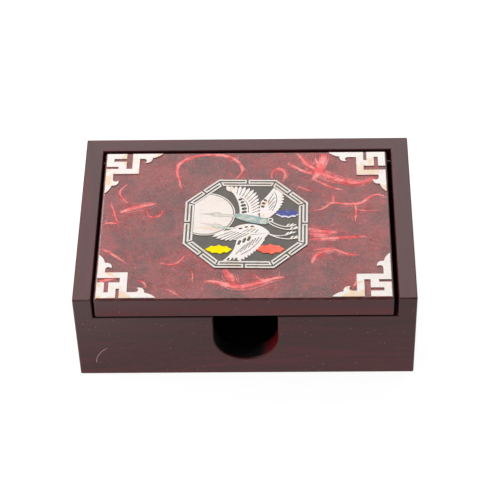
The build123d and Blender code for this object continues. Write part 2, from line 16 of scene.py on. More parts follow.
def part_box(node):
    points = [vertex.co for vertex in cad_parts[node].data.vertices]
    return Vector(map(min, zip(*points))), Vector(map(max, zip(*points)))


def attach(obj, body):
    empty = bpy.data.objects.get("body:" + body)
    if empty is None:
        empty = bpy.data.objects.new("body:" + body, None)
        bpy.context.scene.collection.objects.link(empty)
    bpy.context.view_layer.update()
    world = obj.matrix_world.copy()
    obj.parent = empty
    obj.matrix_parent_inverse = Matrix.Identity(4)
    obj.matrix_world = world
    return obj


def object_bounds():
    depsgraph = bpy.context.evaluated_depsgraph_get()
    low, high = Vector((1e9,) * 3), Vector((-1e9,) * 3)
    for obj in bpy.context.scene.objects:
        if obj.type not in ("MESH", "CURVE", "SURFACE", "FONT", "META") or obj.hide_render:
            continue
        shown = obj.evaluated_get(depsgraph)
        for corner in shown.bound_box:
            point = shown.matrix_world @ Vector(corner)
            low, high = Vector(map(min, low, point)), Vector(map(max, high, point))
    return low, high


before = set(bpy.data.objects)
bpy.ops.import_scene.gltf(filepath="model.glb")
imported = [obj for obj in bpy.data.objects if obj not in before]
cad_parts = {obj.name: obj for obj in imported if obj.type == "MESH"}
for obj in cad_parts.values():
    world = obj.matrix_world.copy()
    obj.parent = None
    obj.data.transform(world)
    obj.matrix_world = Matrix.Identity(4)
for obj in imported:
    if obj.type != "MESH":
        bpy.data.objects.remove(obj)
cad_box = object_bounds()

MM = 0.001

Colour = tuple[float, float, float]
Point = tuple[float, float]
Socket = bpy.types.NodeSocket
Value = float | Socket

log = logging.getLogger("card box")


@dataclass(frozen=True)
class Box:
    """The space between two corners.

    Attributes:
        low: lowest corner.
        high: highest corner.
    """

    low: Vector
    high: Vector

    @classmethod
    def of(cls, node: str) -> "Box":
        """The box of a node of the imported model."""
        return cls(*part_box(node))

    @property
    def centre(self) -> Vector:
        """Middle of the box."""
        return (self.low + self.high) / 2

    @property
    def half(self) -> Vector:
        """Half of the box's size on each axis."""
        return (self.high - self.low) / 2


class Grain(Enum):
    """The way that a board's grain runs, as the stretch of its pattern on each axis."""

    ALONG_X = (0.07, 1.0, 1.0)
    ALONG_Y = (1.0, 0.07, 1.0)


class Tone(Enum):
    """Colours of a cut of shell: its ground, its patches and its fine veins."""

    WHITE = ((0.76, 0.69, 0.65), (0.72, 0.50, 0.30), (0.56, 0.50, 0.48))
    FRET = ((0.66, 0.60, 0.56), (0.60, 0.50, 0.40), (0.44, 0.40, 0.38))
    MOON = ((0.73, 0.645, 0.590), (0.68, 0.53, 0.42), (0.50, 0.40, 0.33))
    TEAL = ((0.215, 0.325, 0.305), (0.50, 0.50, 0.40), (0.02, 0.09, 0.13))
    NECK = ((0.58, 0.54, 0.45), (0.26, 0.42, 0.36), (0.16, 0.12, 0.09))
    YELLOW = ((0.90, 0.735, 0.001), (0.97, 0.84, 0.008), (0.74, 0.54, 0.001))
    RED = ((0.79, 0.088, 0.038), (0.87, 0.135, 0.068), (0.66, 0.055, 0.020))
    BLUE = ((0.082, 0.090, 0.285), (0.19, 0.21, 0.42), (0.030, 0.030, 0.100))
    PALE_BLUE = ((0.62, 0.61, 0.68), (0.72, 0.70, 0.74), (0.22, 0.22, 0.44))


@dataclass(frozen=True)
class Clouds:
    """A cloudy pattern.

    Attributes:
        size: size of its clouds, in metres.
        detail: octaves of finer clouds.
        rough: strength of the finer clouds.
        bend: how far the pattern is distorted.
    """

    size: float
    detail: float = 2.0
    rough: float = 0.5
    bend: float = 0.0


@dataclass(frozen=True)
class Curls:
    """Thin curling lines, which follow the middle level of a cloudy pattern.

    Attributes:
        clouds: the pattern.
        width: half width of a line, as a share of the pattern's range.
        strength: how clearly the lines show where they lie thick.
    """

    clouds: Clouds
    width: float
    strength: float


@dataclass(frozen=True)
class Specks:
    """Small round specks that lie on a few cells of a random pattern.

    Attributes:
        spacing: size of a cell, in metres.
        radius: radius of a speck, in metres.
        share: share of the cells that hold a speck.
    """

    spacing: float
    radius: float
    share: float


@dataclass(frozen=True)
class Step:
    """A smooth step between two levels.

    Attributes:
        low: level at which the step starts.
        high: level at which it ends.
        start: result at its start.
        end: result at its end.
    """

    low: float
    high: float
    start: float = 0.0
    end: float = 1.0


class Graph:
    """One material's node tree, built a node at a time on the object's own coordinates."""

    def __init__(self, name: str, **constants: float) -> None:
        """Start a material with its shader.

        Args:
            name: name of the material.
            constants: values of the shader's own sockets, with underscores for spaces.
        """
        self.material = bpy.data.materials.new(name)
        self.material.use_nodes = True
        self.tree = self.material.node_tree
        self.tree.nodes.clear()
        self.shader = self.tree.nodes.new("ShaderNodeBsdfPrincipled")
        output = self.tree.nodes.new("ShaderNodeOutputMaterial")
        self.tree.links.new(self.shader.outputs["BSDF"], output.inputs["Surface"])
        for socket, value in constants.items():
            self.shader.inputs[socket.replace("_", " ")].default_value = value
        self.place = self.tree.nodes.new("ShaderNodeTexCoord").outputs["Object"]

    def feed(self, socket: Socket, value: Value | Colour) -> None:
        """Link a value to a socket, or set it there.

        Args:
            socket: the socket that takes the value.
            value: another node's output, a number or a colour.
        """
        if isinstance(value, bpy.types.NodeSocket):
            self.tree.links.new(value, socket)
        elif isinstance(value, tuple) and len(socket.default_value) > len(value):
            socket.default_value = (*value, 1.0)
        else:
            socket.default_value = value

    def surface(self, socket: str, value: Value | Colour) -> None:
        """Feed a socket of the shader, by its name."""
        self.feed(self.shader.inputs[socket], value)

    def math(self, operation: str, *values: Value) -> Socket:
        """Add a math node.

        Args:
            operation: the node's operation.
            values: what its sockets take.

        Returns:
            The node's result.
        """
        node = self.tree.nodes.new("ShaderNodeMath")
        node.operation = operation
        for socket, value in zip(node.inputs, values):
            self.feed(socket, value)
        return node.outputs[0]

    def product(self, *values: Value) -> Socket:
        """Multiply values.

        Args:
            values: the values.

        Returns:
            Their product.
        """
        result = values[0]
        for value in values[1:]:
            result = self.math("MULTIPLY", result, value)
        return result

    def offset(self, value: Value, middle: float) -> Socket:
        """How far a value is from a middle, either way."""
        return self.math("ABSOLUTE", self.math("SUBTRACT", value, middle))

    def ramp(self, value: Value, step: Step) -> Socket:
        """Turn a value into a smooth step.

        Args:
            value: what is measured.
            step: the step.

        Returns:
            The step's result.
        """
        node = self.tree.nodes.new("ShaderNodeMapRange")
        node.interpolation_type = "SMOOTHSTEP"
        for socket, given in zip(node.inputs, (value, step.low, step.high, step.start, step.end)):
            self.feed(socket, given)
        return node.outputs[0]

    def fade(self, value: Value, low: float, high: float) -> Socket:
        """A smooth fall from 1 at a low level to 0 at a high one."""
        return self.ramp(value, Step(low, high, 1.0, 0.0))

    def mapped(self, shift: tuple = (0, 0, 0), stretch: tuple = (1, 1, 1), turn: float = 0.0) -> Socket:
        """Move, turn and stretch the object's coordinates.

        Args:
            shift: move, in metres.
            stretch: factor on each axis.
            turn: turn about Z, in radians.

        Returns:
            The new coordinates.
        """
        node = self.tree.nodes.new("ShaderNodeMapping")
        self.feed(node.inputs["Vector"], self.place)
        node.inputs["Location"].default_value = shift
        node.inputs["Rotation"].default_value = (0, 0, turn)
        node.inputs["Scale"].default_value = stretch
        return node.outputs[0]

    def noise(self, clouds: Clouds, place: Socket | None = None) -> Socket:
        """Add a cloudy pattern.

        Args:
            clouds: the pattern.
            place: coordinates that it reads, or none for the object's own.

        Returns:
            The pattern's level, from 0 to 1.
        """
        node = self.tree.nodes.new("ShaderNodeTexNoise")
        self.feed(node.inputs["Vector"], place or self.place)
        node.inputs["Scale"].default_value = 1 / clouds.size
        node.inputs["Detail"].default_value = clouds.detail
        node.inputs["Roughness"].default_value = clouds.rough
        node.inputs["Distortion"].default_value = clouds.bend
        return node.outputs["Fac"]

    def specks(self, specks: Specks) -> Socket:
        """Add scattered specks.

        Args:
            specks: their size and spread.

        Returns:
            Their mask, 1 in the middle of a speck.
        """
        node = self.tree.nodes.new("ShaderNodeTexVoronoi")
        self.feed(node.inputs["Vector"], self.place)
        node.inputs["Scale"].default_value = 1 / specks.spacing
        draw = self.tree.nodes.new("ShaderNodeSeparateColor")
        self.feed(draw.inputs["Color"], node.outputs["Color"])
        chosen = self.math("GREATER_THAN", draw.outputs["Red"], 1 - specks.share)
        return self.product(chosen, self.fade(node.outputs["Distance"], 0.0, specks.radius / specks.spacing))

    def axes(self) -> list[Socket]:
        """The object's coordinates, one by one.

        Returns:
            The outputs for x, y and z.
        """
        node = self.tree.nodes.new("ShaderNodeSeparateXYZ")
        self.feed(node.inputs[0], self.place)
        return list(node.outputs)

    def mix(self, share: Value, first: Value | Colour, second: Value | Colour) -> Socket:
        """Blend two colours.

        Args:
            share: share of the second colour.
            first: colour at 0.
            second: colour at 1.

        Returns:
            The blend.
        """
        node = self.tree.nodes.new("ShaderNodeMix")
        node.data_type = "RGBA"
        self.feed(node.inputs["Factor"], share)
        colours = [socket for socket in node.inputs if socket.type == "RGBA"]
        for socket, colour in zip(colours, (first, second)):
            self.feed(socket, colour)
        return next(socket for socket in node.outputs if socket.type == "RGBA")

    def contour(self, curls: Curls, shift: float) -> Socket:
        """Add thin curling lines.

        Args:
            curls: the lines.
            shift: move of their pattern, in metres.

        Returns:
            Their mask, 1 in the middle of a line.
        """
        level = self.noise(curls.clouds, self.mapped(shift=(shift, -shift, shift)))
        return self.fade(self.offset(level, 0.5), 0.0, curls.width)

    def edges(self, box: Box, width: float) -> Socket:
        """How near a point is to an outer edge of a box.

        Args:
            box: the box.
            width: distance from the edge at which the mask ends, in metres.

        Returns:
            The mask, 1 on the edge.
        """
        near = []
        for axis, centre, half in zip(self.axes(), box.centre, box.half):
            near.append(self.ramp(self.offset(axis, centre), Step(half - width, half)))
        pairs = [self.product(near[first], near[second]) for first, second in ((0, 1), (1, 2), (0, 2))]
        return self.math("MAXIMUM", self.math("MAXIMUM", pairs[0], pairs[1]), pairs[2])

    def inside(self, box: Box, soft: Vector) -> Socket:
        """Whether a point lies inside a box.

        Args:
            box: the box.
            soft: half width of the mask's soft border on each axis, in metres.

        Returns:
            The mask, 1 inside.
        """
        shares = []
        for axis, centre, half, border in zip(self.axes(), box.centre, box.half, soft):
            shares.append(self.fade(self.offset(axis, centre), half - border, half + border))
        return self.product(*shares)

    def relief(self, *layers: tuple[Socket, float]) -> None:
        """Feed the shader's normal with bumps.

        Args:
            layers: pairs of a height pattern and its full height, in metres.
        """
        normal = None
        for height, depth in layers:
            node = self.tree.nodes.new("ShaderNodeBump")
            node.inputs["Distance"].default_value = depth
            self.feed(node.inputs["Height"], height)
            if normal is not None:
                self.feed(node.inputs["Normal"], normal)
            normal = node.outputs["Normal"]
        self.surface("Normal", normal)


@dataclass(frozen=True)
class HairMark:
    """A fine pale hair caught on the front, as an arc.

    Attributes:
        centre: centre of the arc, across and up.
        radius: radius of the arc.
        end: upper right end of the arc, across and up.
        width: half width of the hair.
        core: share of the half width that is fully pale.
        reach: how far the mark goes before and behind the face.
        soft: half width of its soft ends on each axis.
    """

    centre: Point = (-41.2 * MM, 5.8 * MM)
    radius: float = 8.1 * MM
    end: Point = (-45.4 * MM, 14.5 * MM)
    width: float = 0.13 * MM
    core: float = 0.4
    reach: float = 1 * MM
    soft: Vector = Vector((0.1, 0.1, 0.1)) * MM

    def mask(self, graph: Graph, front: float) -> Socket:
        """Mark the hair in a material.

        Args:
            graph: the material.
            front: where the front face lies.

        Returns:
            The mask, 1 on the hair.
        """
        across, up = self.centre
        x, _, z = graph.axes()
        aside = graph.math("SUBTRACT", x, across)
        above = graph.math("SUBTRACT", z, up)
        away = graph.math("SQRT", graph.math("ADD", graph.product(aside, aside), graph.product(above, above)))
        line = graph.fade(graph.offset(away, self.radius), self.width * self.core, self.width)
        low = Vector((across - 2 * self.radius, front - self.reach, up))
        high = Vector((self.end[0], front + self.reach, self.end[1]))
        return graph.product(line, graph.inside(Box(low, high), self.soft))


@dataclass(frozen=True)
class PaintedShading:
    """A part of the wood with painted light and shade in a colour of its own.

    Attributes:
        box: where it lies.
        colour: its painted colour, near black painted shade by default.
        matt: how much rougher it is.
        soft: half width of its soft border on each axis.
    """

    box: Box
    # Painted shade: near black, where shadow falls.
    colour: Colour = (0.012, 0.004, 0.004)
    matt: float = 0.5
    soft: Vector = Vector((0.08, 0.08, 0.08)) * MM


@dataclass(frozen=True)
class Lacquer:
    """Dark red lacquer over wood whose grain still shows.

    Attributes:
        name: name of the material.
        grain: the way that the grain runs.
        body: box whose outer edges are worn.
        shades: parts with painted shade and painted highlights in a colour of their own.
        warmth: how red the lacquer is.
        dark: colour of the deepest lacquer.
        red: colour where the wood shines through.
        worn: colour of a worn edge.
        dust: colour of the dust specks and of the hair.
        haze: colour of the painted reflection, a pale haze at the upper left of the front.
        gloss: strength of its reflections.
        streaks: pattern of the fine grain.
        figure: pattern of the broad grain.
        flecks: pattern of the pores.
        rubs: pattern that breaks up the worn edges.
        skin: pattern of the varnish.
        streak_red: how red the fine grain makes it.
        figure_red: how red the broad grain makes it.
        fleck_red: how red the pores make it.
        red_up: factors on the red at the foot and at the top.
        red_across: factors on the red at the left and at the right, a painted falloff of the key light from
            the left.
        reflection_share: share of the painted reflection at its thickest.
        wear_width: width of the worn edges.
        wear_share: share of wear over the pattern that breaks it up.
        wear_matt: how much rougher a worn edge is.
        specks: large specks of dust.
        fine_specks: small specks of dust.
        fine_share: share of a small speck's colour.
        dust_share: share of the dust's colour.
        dust_behind: share of the dust away from the front face.
        face_skin: depth that counts as the front face.
        face_soft: width of the soft change behind the front face.
        sheen: roughness over the fine grain.
        roughest: highest roughness.
        streak_depth: height of the fine grain.
        fleck_depth: height of the pores.
        skin_depth: height of the varnish's pattern.
        dust_depth: height of the dust.
    """

    name: str
    grain: Grain
    body: Box
    shades: tuple[PaintedShading, ...] = ()
    warmth: float = 1.0
    dark: Colour = (0.038, 0.006, 0.007)
    red: Colour = (0.130, 0.006, 0.010)
    worn: Colour = (0.150, 0.070, 0.060)
    dust: Colour = (0.560, 0.470, 0.440)
    # Painted reflection: a pale grey veil on the upper left of the front.
    haze: Colour = (0.110, 0.066, 0.068)
    gloss: float = 0.33
    streaks: Clouds = Clouds(0.8 * MM, 4.0, 0.6, 0.5)
    figure: Clouds = Clouds(7 * MM, 4.0, 0.6, 1.2)
    flecks: Clouds = Clouds(1.1 * MM, 3.0, 0.75)
    rubs: Clouds = Clouds(2.5 * MM, 5.0, 0.75)
    skin: Clouds = Clouds(0.3 * MM)
    streak_red: Step = Step(0.36, 0.66, end=0.3)
    figure_red: Step = Step(0.34, 0.66, end=0.5)
    fleck_red: Step = Step(0.4, 0.65, end=0.2)
    red_up: Point = (1.15, 0.5)
    # Painted shade: the red falls off to the right, away from the key light at the left.
    red_across: Point = (1.15, 0.75)
    reflection_share: float = 0.45
    wear_width: float = 0.7 * MM
    wear_share: Step = Step(0.42, 0.66, 0.05, 0.9)
    wear_matt: float = 0.12
    specks: Specks = Specks(2.0 * MM, 0.2 * MM, 0.5)
    fine_specks: Specks = Specks(0.9 * MM, 0.12 * MM, 0.5)
    fine_share: float = 0.4
    dust_share: float = 0.9
    dust_behind: float = 0.25
    face_skin: float = 0.7 * MM
    face_soft: float = 0.1 * MM
    sheen: Step = Step(0.25, 0.75, 0.33, 0.42)
    roughest: float = 0.95
    streak_depth: float = 0.03 * MM
    fleck_depth: float = 0.02 * MM
    skin_depth: float = 0.008 * MM
    dust_depth: float = 0.03 * MM

    def pattern(self, graph: Graph, clouds: Clouds) -> Socket:
        """A pattern along the grain, which runs across on the front's face.

        Args:
            graph: the material.
            clouds: the pattern across the grain.

        Returns:
            The pattern's level.
        """
        along = graph.noise(clouds, graph.mapped(stretch=self.grain.value))
        if self.grain is Grain.ALONG_X:
            return along
        across = graph.noise(clouds, graph.mapped(stretch=Grain.ALONG_X.value))
        front = self.body.low.y + self.face_skin
        face = graph.fade(graph.axes()[1], front - self.face_soft, front)
        rest = graph.math("SUBTRACT", 1.0, face)
        return graph.math("ADD", graph.product(along, rest), graph.product(across, face))

    def pale_dust(self, graph: Graph) -> Socket:
        """The dust specks, which lie mostly on the front, and the hair.

        Args:
            graph: the material.

        Returns:
            Their mask.
        """
        front = self.body.low.y
        small = graph.product(graph.specks(self.fine_specks), self.fine_share)
        dust = graph.math("MAXIMUM", graph.specks(self.specks), small)
        depth = Step(front, front + self.face_skin, 1.0, self.dust_behind)
        dust = graph.product(dust, graph.ramp(graph.axes()[1], depth))
        return graph.math("MAXIMUM", dust, HairMark().mask(graph, front))

    def painted_reflection(self, graph: Graph) -> Socket:
        """The painted reflection, a pale haze on the upper left of the front.

        Args:
            graph: the material.

        Returns:
            Its share.
        """
        low, high, (x, y, z) = self.body.low, self.body.high, graph.axes()
        return graph.product(
            graph.fade(y, low.y, low.y + self.face_skin),
            graph.ramp(z, Step(low.z, high.z, end=self.reflection_share)),
            graph.fade(x, low.x, self.body.centre.x),
        )

    def build(self) -> bpy.types.Material:
        """Build the finish.

        Returns:
            The material.
        """
        graph = Graph(self.name, Specular_IOR_Level=self.gloss)
        streaks = self.pattern(graph, self.streaks)
        figure = self.pattern(graph, self.figure)
        flecks = graph.noise(self.flecks)
        low, high, (x, _, z) = self.body.low, self.body.high, graph.axes()
        red = graph.math("ADD", graph.ramp(figure, self.figure_red), graph.ramp(streaks, self.streak_red))
        red = graph.math("ADD", red, graph.ramp(flecks, self.fleck_red))
        # The red grows towards the foot. Its fall from left to right is painted shade, away from the key
        # light at the left.
        up = graph.ramp(z, Step(low.z, high.z, *self.red_up))
        across = graph.ramp(x, Step(low.x, high.x, *self.red_across))
        colour = graph.mix(graph.product(red, up, across, self.warmth), self.dark, self.red)
        # Painted reflection: a pale grey veil over the upper left of the front.
        colour = graph.mix(self.painted_reflection(graph), colour, self.haze)
        rubs = graph.ramp(graph.noise(self.rubs), self.wear_share)
        wear = graph.product(graph.edges(self.body, self.wear_width), rubs)
        colour = graph.mix(wear, colour, self.worn)
        dust = self.pale_dust(graph)
        colour = graph.mix(graph.product(dust, self.dust_share), colour, self.dust)
        rough = graph.math("ADD", graph.ramp(streaks, self.sheen), graph.product(wear, self.wear_matt))
        # Painted light and shade: each box blends in its colour and its roughness.
        for shade in self.shades:
            share = graph.inside(shade.box, shade.soft)
            colour = graph.mix(share, colour, shade.colour)
            rough = graph.math("ADD", rough, graph.product(share, shade.matt))
        graph.surface("Base Color", colour)
        graph.surface("Roughness", graph.math("MINIMUM", rough, self.roughest))
        graph.relief(
            (streaks, self.streak_depth),
            (flecks, self.fleck_depth),
            (graph.noise(self.skin), self.skin_depth),
            (dust, self.dust_depth),
        )
        return graph.material


@dataclass(frozen=True)
class FibrePaper:
    """Dark red paper with a haze of fine curled fibres under a satin varnish.

    Attributes:
        name: name of the material.
        body: box of the sheet, along whose left edge a highlight is painted.
        ground: colour of the bare ground.
        haze: colour of the paper's clouds.
        hair: colour of the fine fibres.
        fleck: colour of the pale flecks.
        dust: colour of the dust specks and of the painted highlight along the left edge.
        gloss: strength of its reflections.
        clouds: pattern of the broad clouds.
        pulp: pattern of the pulp.
        flecks: pattern of the flecks.
        cloud_haze: haze over the clouds.
        pulp_haze: haze over the pulp.
        pale_flecks: pale flecks over their pattern.
        dark_flecks: dark flecks over their pattern.
        specks: specks of dust.
        speck_share: share of the dust's colour.
        highlight_width: width of the painted highlight along the left edge.
        edge: pattern that breaks up the painted highlight.
        highlight_share: share of the painted highlight over that pattern.
        curls: layers of fine fibres.
        curl_shift: move from one layer to the next.
        gap_size: size of the clouds that break up a layer, as a factor on its own.
        gap_shift: move of those clouds from one layer to the next, and sideways.
        gap: how those clouds break it up.
        thicket: clouds between which a layer grows to its strength.
        thinnest: share of a layer outside the clouds.
        sheen: roughness over the pulp.
        hair_depth: height of the fine fibres.
        pulp_depth: height of the pulp.
    """

    name: str
    body: Box
    ground: Colour = (0.070, 0.012, 0.011)
    haze: Colour = (0.205, 0.027, 0.027)
    hair: Colour = (0.480, 0.080, 0.085)
    fleck: Colour = (0.290, 0.110, 0.105)
    dust: Colour = (0.560, 0.470, 0.440)
    gloss: float = 0.48
    clouds: Clouds = Clouds(11 * MM, 3.0, 0.6, 0.8)
    pulp: Clouds = Clouds(0.8 * MM, 4.0, 0.7)
    flecks: Clouds = Clouds(0.32 * MM, 2.0, 0.7)
    cloud_haze: Step = Step(0.38, 0.64)
    pulp_haze: Step = Step(0.42, 0.72, end=0.45)
    pale_flecks: Step = Step(0.48, 0.68, end=0.6)
    dark_flecks: Step = Step(0.46, 0.3, end=0.7)
    specks: Specks = Specks(1.4 * MM, 0.16 * MM, 0.25)
    speck_share: float = 0.6
    highlight_width: float = 0.35 * MM
    edge: Clouds = Clouds(2.5 * MM, 4.0, 0.7)
    highlight_share: Step = Step(0.35, 0.6, 0.3, 0.9)
    curls: tuple[Curls, ...] = (
        Curls(Clouds(3.2 * MM, 1.5, bend=1.8), 0.022, 0.75),
        Curls(Clouds(2.1 * MM, 1.5, bend=2.4), 0.034, 0.6),
        Curls(Clouds(5.5 * MM, 1.5, bend=1.2), 0.014, 0.8),
        Curls(Clouds(1.3 * MM, 1.5, bend=2.0), 0.05, 0.5),
    )
    curl_shift: float = 0.11
    gap_size: float = 1.4
    gap_shift: Point = (0.3, 0.2)
    gap: Step = Step(0.48, 0.62)
    thicket: Point = (0.34, 0.6)
    thinnest: float = 0.25
    sheen: Step = Step(0.2, 0.8, 0.36, 0.46)
    hair_depth: float = 0.004 * MM
    pulp_depth: float = 0.010 * MM

    def fine_fibres(self, graph: Graph, clouds: Socket) -> Socket:
        """The layers of fine fibres that lie in the paper.

        Args:
            graph: the material.
            clouds: the paper's clouds.

        Returns:
            Their mask.
        """
        hairs = None
        for number, curls in enumerate(self.curls, 1):
            shift = (self.gap_shift[0] * number, self.gap_shift[1], 0)
            gaps = graph.noise(Clouds(curls.clouds.size * self.gap_size), graph.mapped(shift=shift))
            thick = graph.ramp(clouds, Step(*self.thicket, self.thinnest, curls.strength))
            line = graph.contour(curls, self.curl_shift * number)
            layer = graph.product(line, graph.ramp(gaps, self.gap), thick)
            hairs = layer if hairs is None else graph.math("MAXIMUM", hairs, layer)
        return hairs

    def build(self) -> bpy.types.Material:
        """Build the finish.

        Returns:
            The material.
        """
        graph = Graph(self.name, Specular_IOR_Level=self.gloss)
        clouds, pulp, flecks = (graph.noise(pattern) for pattern in (self.clouds, self.pulp, self.flecks))
        colour = graph.mix(graph.ramp(clouds, self.cloud_haze), self.ground, self.haze)
        colour = graph.mix(graph.ramp(pulp, self.pulp_haze), colour, self.haze)
        colour = graph.mix(graph.ramp(flecks, self.pale_flecks), colour, self.fleck)
        colour = graph.mix(graph.ramp(flecks, self.dark_flecks), colour, self.ground)
        dust = graph.product(graph.specks(self.specks), self.speck_share)
        # Painted highlight: a pale line along the paper's left edge, where the edge catches the light.
        left = self.body.low.x
        edge = graph.fade(graph.axes()[0], left, left + self.highlight_width)
        edge = graph.product(edge, graph.ramp(graph.noise(self.edge), self.highlight_share))
        colour = graph.mix(graph.math("MAXIMUM", dust, edge), colour, self.dust)
        hairs = self.fine_fibres(graph, clouds)
        graph.surface("Base Color", graph.mix(hairs, colour, self.hair))
        graph.surface("Roughness", graph.ramp(pulp, self.sheen))
        graph.relief((hairs, self.hair_depth), (pulp, self.pulp_depth))
        return graph.material


@dataclass(frozen=True)
class Fibre:
    """Long plant fibres, coral red where they lie thick.

    Attributes:
        name: name of the material.
        thin: colour of a lone fibre.
        thick: colour where many lie together.
        gloss: strength of its reflections.
        clouds: pattern of the thick places.
        strands: pattern of the strands.
        cloud_share: share of the thick colour.
        strand_share: share of the thin colour between strands.
        sheen: roughness over the strands.
        depth: height of the strands.
    """

    name: str
    thin: Colour
    thick: Colour
    gloss: float = 0.36
    clouds: Clouds = Clouds(4 * MM, 3.0, 0.6)
    strands: Clouds = Clouds(0.35 * MM, 2.0, 0.6)
    cloud_share: Step = Step(0.35, 0.65)
    strand_share: Step = Step(0.35, 0.75, end=0.45)
    sheen: Step = Step(0.2, 0.8, 0.38, 0.5)
    depth: float = 0.02 * MM

    def build(self) -> bpy.types.Material:
        """Build the finish.

        Returns:
            The material.
        """
        graph = Graph(self.name, Specular_IOR_Level=self.gloss)
        strands = graph.noise(self.strands)
        colour = graph.mix(graph.ramp(graph.noise(self.clouds), self.cloud_share), self.thin, self.thick)
        graph.surface("Base Color", graph.mix(graph.ramp(strands, self.strand_share), colour, self.thin))
        graph.surface("Roughness", graph.ramp(strands, self.sheen))
        graph.relief((strands, self.depth))
        return graph.material


@dataclass(frozen=True)
class Shell:
    """Lacquered mother-of-pearl with patches, veins and a soft gloss.

    Attributes:
        name: name of the material.
        tone: colours of the cut.
        iridescence: strength of the pink and green play.
        gloss: strength of its reflections.
        patch_size: size of its patches, in metres.
        patch_start: level of the pattern over which a patch starts.
        patch_rise: width of a patch's soft border on that pattern.
        patch_share: share of the patch's colour.
        patch_bend: how far the patches are distorted.
        vein_share: strength of its veins.
        vein_levels: levels of the pattern between which a vein grows.
        flow: stretch of the veins on each axis.
        flow_turn: turn of the veins, in radians.
        veins: pattern of the veins.
        play: pattern of the pink and green play.
        pink: colour of the play on one side.
        pink_levels: levels of the pattern between which it grows.
        green: colour of the play on the other side.
        green_levels: levels of the pattern between which it grows.
        sheen: roughness over the veins.
        vein_depth: height of the veins.
        patch_depth: height of the patches.
    """

    name: str
    tone: Tone
    iridescence: float = 0.3
    gloss: float = 0.5
    patch_size: float = 5.5 * MM
    patch_start: float = 0.52
    patch_rise: float = 0.12
    patch_share: float = 0.9
    patch_bend: float = 0.6
    vein_share: float = 0.5
    vein_levels: Point = (0.52, 0.72)
    flow: tuple[float, float, float] = (0.35, 1.0, 1.0)
    flow_turn: float = 0.5
    veins: Clouds = Clouds(0.8 * MM, 5.0, 0.65, 1.2)
    play: Clouds = Clouds(2.4 * MM, bend=1.5)
    pink: Colour = (0.70, 0.53, 0.54)
    pink_levels: Point = (0.5, 0.66)
    green: Colour = (0.55, 0.63, 0.56)
    green_levels: Point = (0.5, 0.34)
    sheen: Step = Step(0.3, 0.7, 0.22, 0.36)
    vein_depth: float = 0.02 * MM
    patch_depth: float = 0.04 * MM

    def build(self) -> bpy.types.Material:
        """Build the finish.

        Returns:
            The material.
        """
        ground, patch, vein = self.tone.value
        graph = Graph(self.name, Specular_IOR_Level=self.gloss)
        patches = graph.noise(Clouds(self.patch_size, bend=self.patch_bend))
        flow = graph.mapped(stretch=self.flow, turn=self.flow_turn)
        veins, play = graph.noise(self.veins, flow), graph.noise(self.play, flow)
        rise = Step(self.patch_start, self.patch_start + self.patch_rise, end=self.patch_share)
        colour = graph.mix(graph.ramp(patches, rise), ground, patch)
        for tint, levels in ((self.pink, self.pink_levels), (self.green, self.green_levels)):
            colour = graph.mix(graph.ramp(play, Step(*levels, end=self.iridescence)), colour, tint)
        colour = graph.mix(graph.ramp(veins, Step(*self.vein_levels, end=self.vein_share)), colour, vein)
        graph.surface("Base Color", colour)
        graph.surface("Roughness", graph.ramp(veins, self.sheen))
        graph.relief((veins, self.vein_depth), (patches, self.patch_depth))
        return graph.material


@dataclass(frozen=True)
class DarkGround:
    """Near black lacquered ground of the medallion.

    Attributes:
        name: name of the material.
        black: its darkest colour.
        grey: its palest colour.
        gloss: strength of its reflections.
        clouds: pattern of the two colours.
        grit: pattern of the fine grit.
        cloud_share: share of the grey over its pattern.
        sheen: roughness over the grit.
        depth: height of the grit.
    """

    name: str
    black: Colour = (0.035, 0.022, 0.009)
    grey: Colour = (0.052, 0.037, 0.020)
    gloss: float = 0.5
    clouds: Clouds = Clouds(3 * MM, 4.0, 0.6)
    grit: Clouds = Clouds(0.3 * MM, 3.0, 0.6)
    cloud_share: Step = Step(0.35, 0.7)
    sheen: Step = Step(0.2, 0.8, 0.36, 0.48)
    depth: float = 0.01 * MM

    def build(self) -> bpy.types.Material:
        """Build the finish.

        Returns:
            The material.
        """
        graph = Graph(self.name, Specular_IOR_Level=self.gloss)
        grit = graph.noise(self.grit)
        grey = graph.ramp(graph.noise(self.clouds), self.cloud_share)
        graph.surface("Base Color", graph.mix(grey, self.black, self.grey))
        graph.surface("Roughness", graph.ramp(grit, self.sheen))
        graph.relief((grit, self.depth))
        return graph.material


@dataclass(frozen=True)
class Felt:
    """Short napped black felt.

    Attributes:
        name: name of the material.
        black: its darkest colour.
        pale: its palest colour.
        gloss: strength of its reflections.
        fuzz: strength of the shine of its fibres.
        nap: pattern of the nap.
        pile: pattern of the worn places.
        nap_share: share of the pale colour.
        pile_share: share of the black over the worn places.
        sheen: roughness over the nap.
        nap_depth: height of the nap.
        pile_depth: height of the worn places.
    """

    name: str
    black: Colour = (0.006, 0.005, 0.005)
    pale: Colour = (0.018, 0.014, 0.014)
    gloss: float = 0.1
    fuzz: float = 0.1
    nap: Clouds = Clouds(0.5 * MM, 6.0, 0.8, 1.5)
    pile: Clouds = Clouds(7 * MM, 3.0)
    nap_share: Step = Step(0.4, 0.7)
    pile_share: Step = Step(0.4, 0.7, end=0.4)
    sheen: Step = Step(0.2, 0.8, 0.85, 1.0)
    nap_depth: float = 0.2 * MM
    pile_depth: float = 0.1 * MM

    def build(self) -> bpy.types.Material:
        """Build the finish.

        Returns:
            The material.
        """
        graph = Graph(self.name, Specular_IOR_Level=self.gloss, Sheen_Weight=self.fuzz)
        nap, pile = graph.noise(self.nap), graph.noise(self.pile)
        colour = graph.mix(graph.ramp(nap, self.nap_share), self.black, self.pale)
        graph.surface("Base Color", graph.mix(graph.ramp(pile, self.pile_share), colour, self.black))
        graph.surface("Roughness", graph.ramp(nap, self.sheen))
        graph.relief((nap, self.nap_depth), (pile, self.pile_depth))
        return graph.material


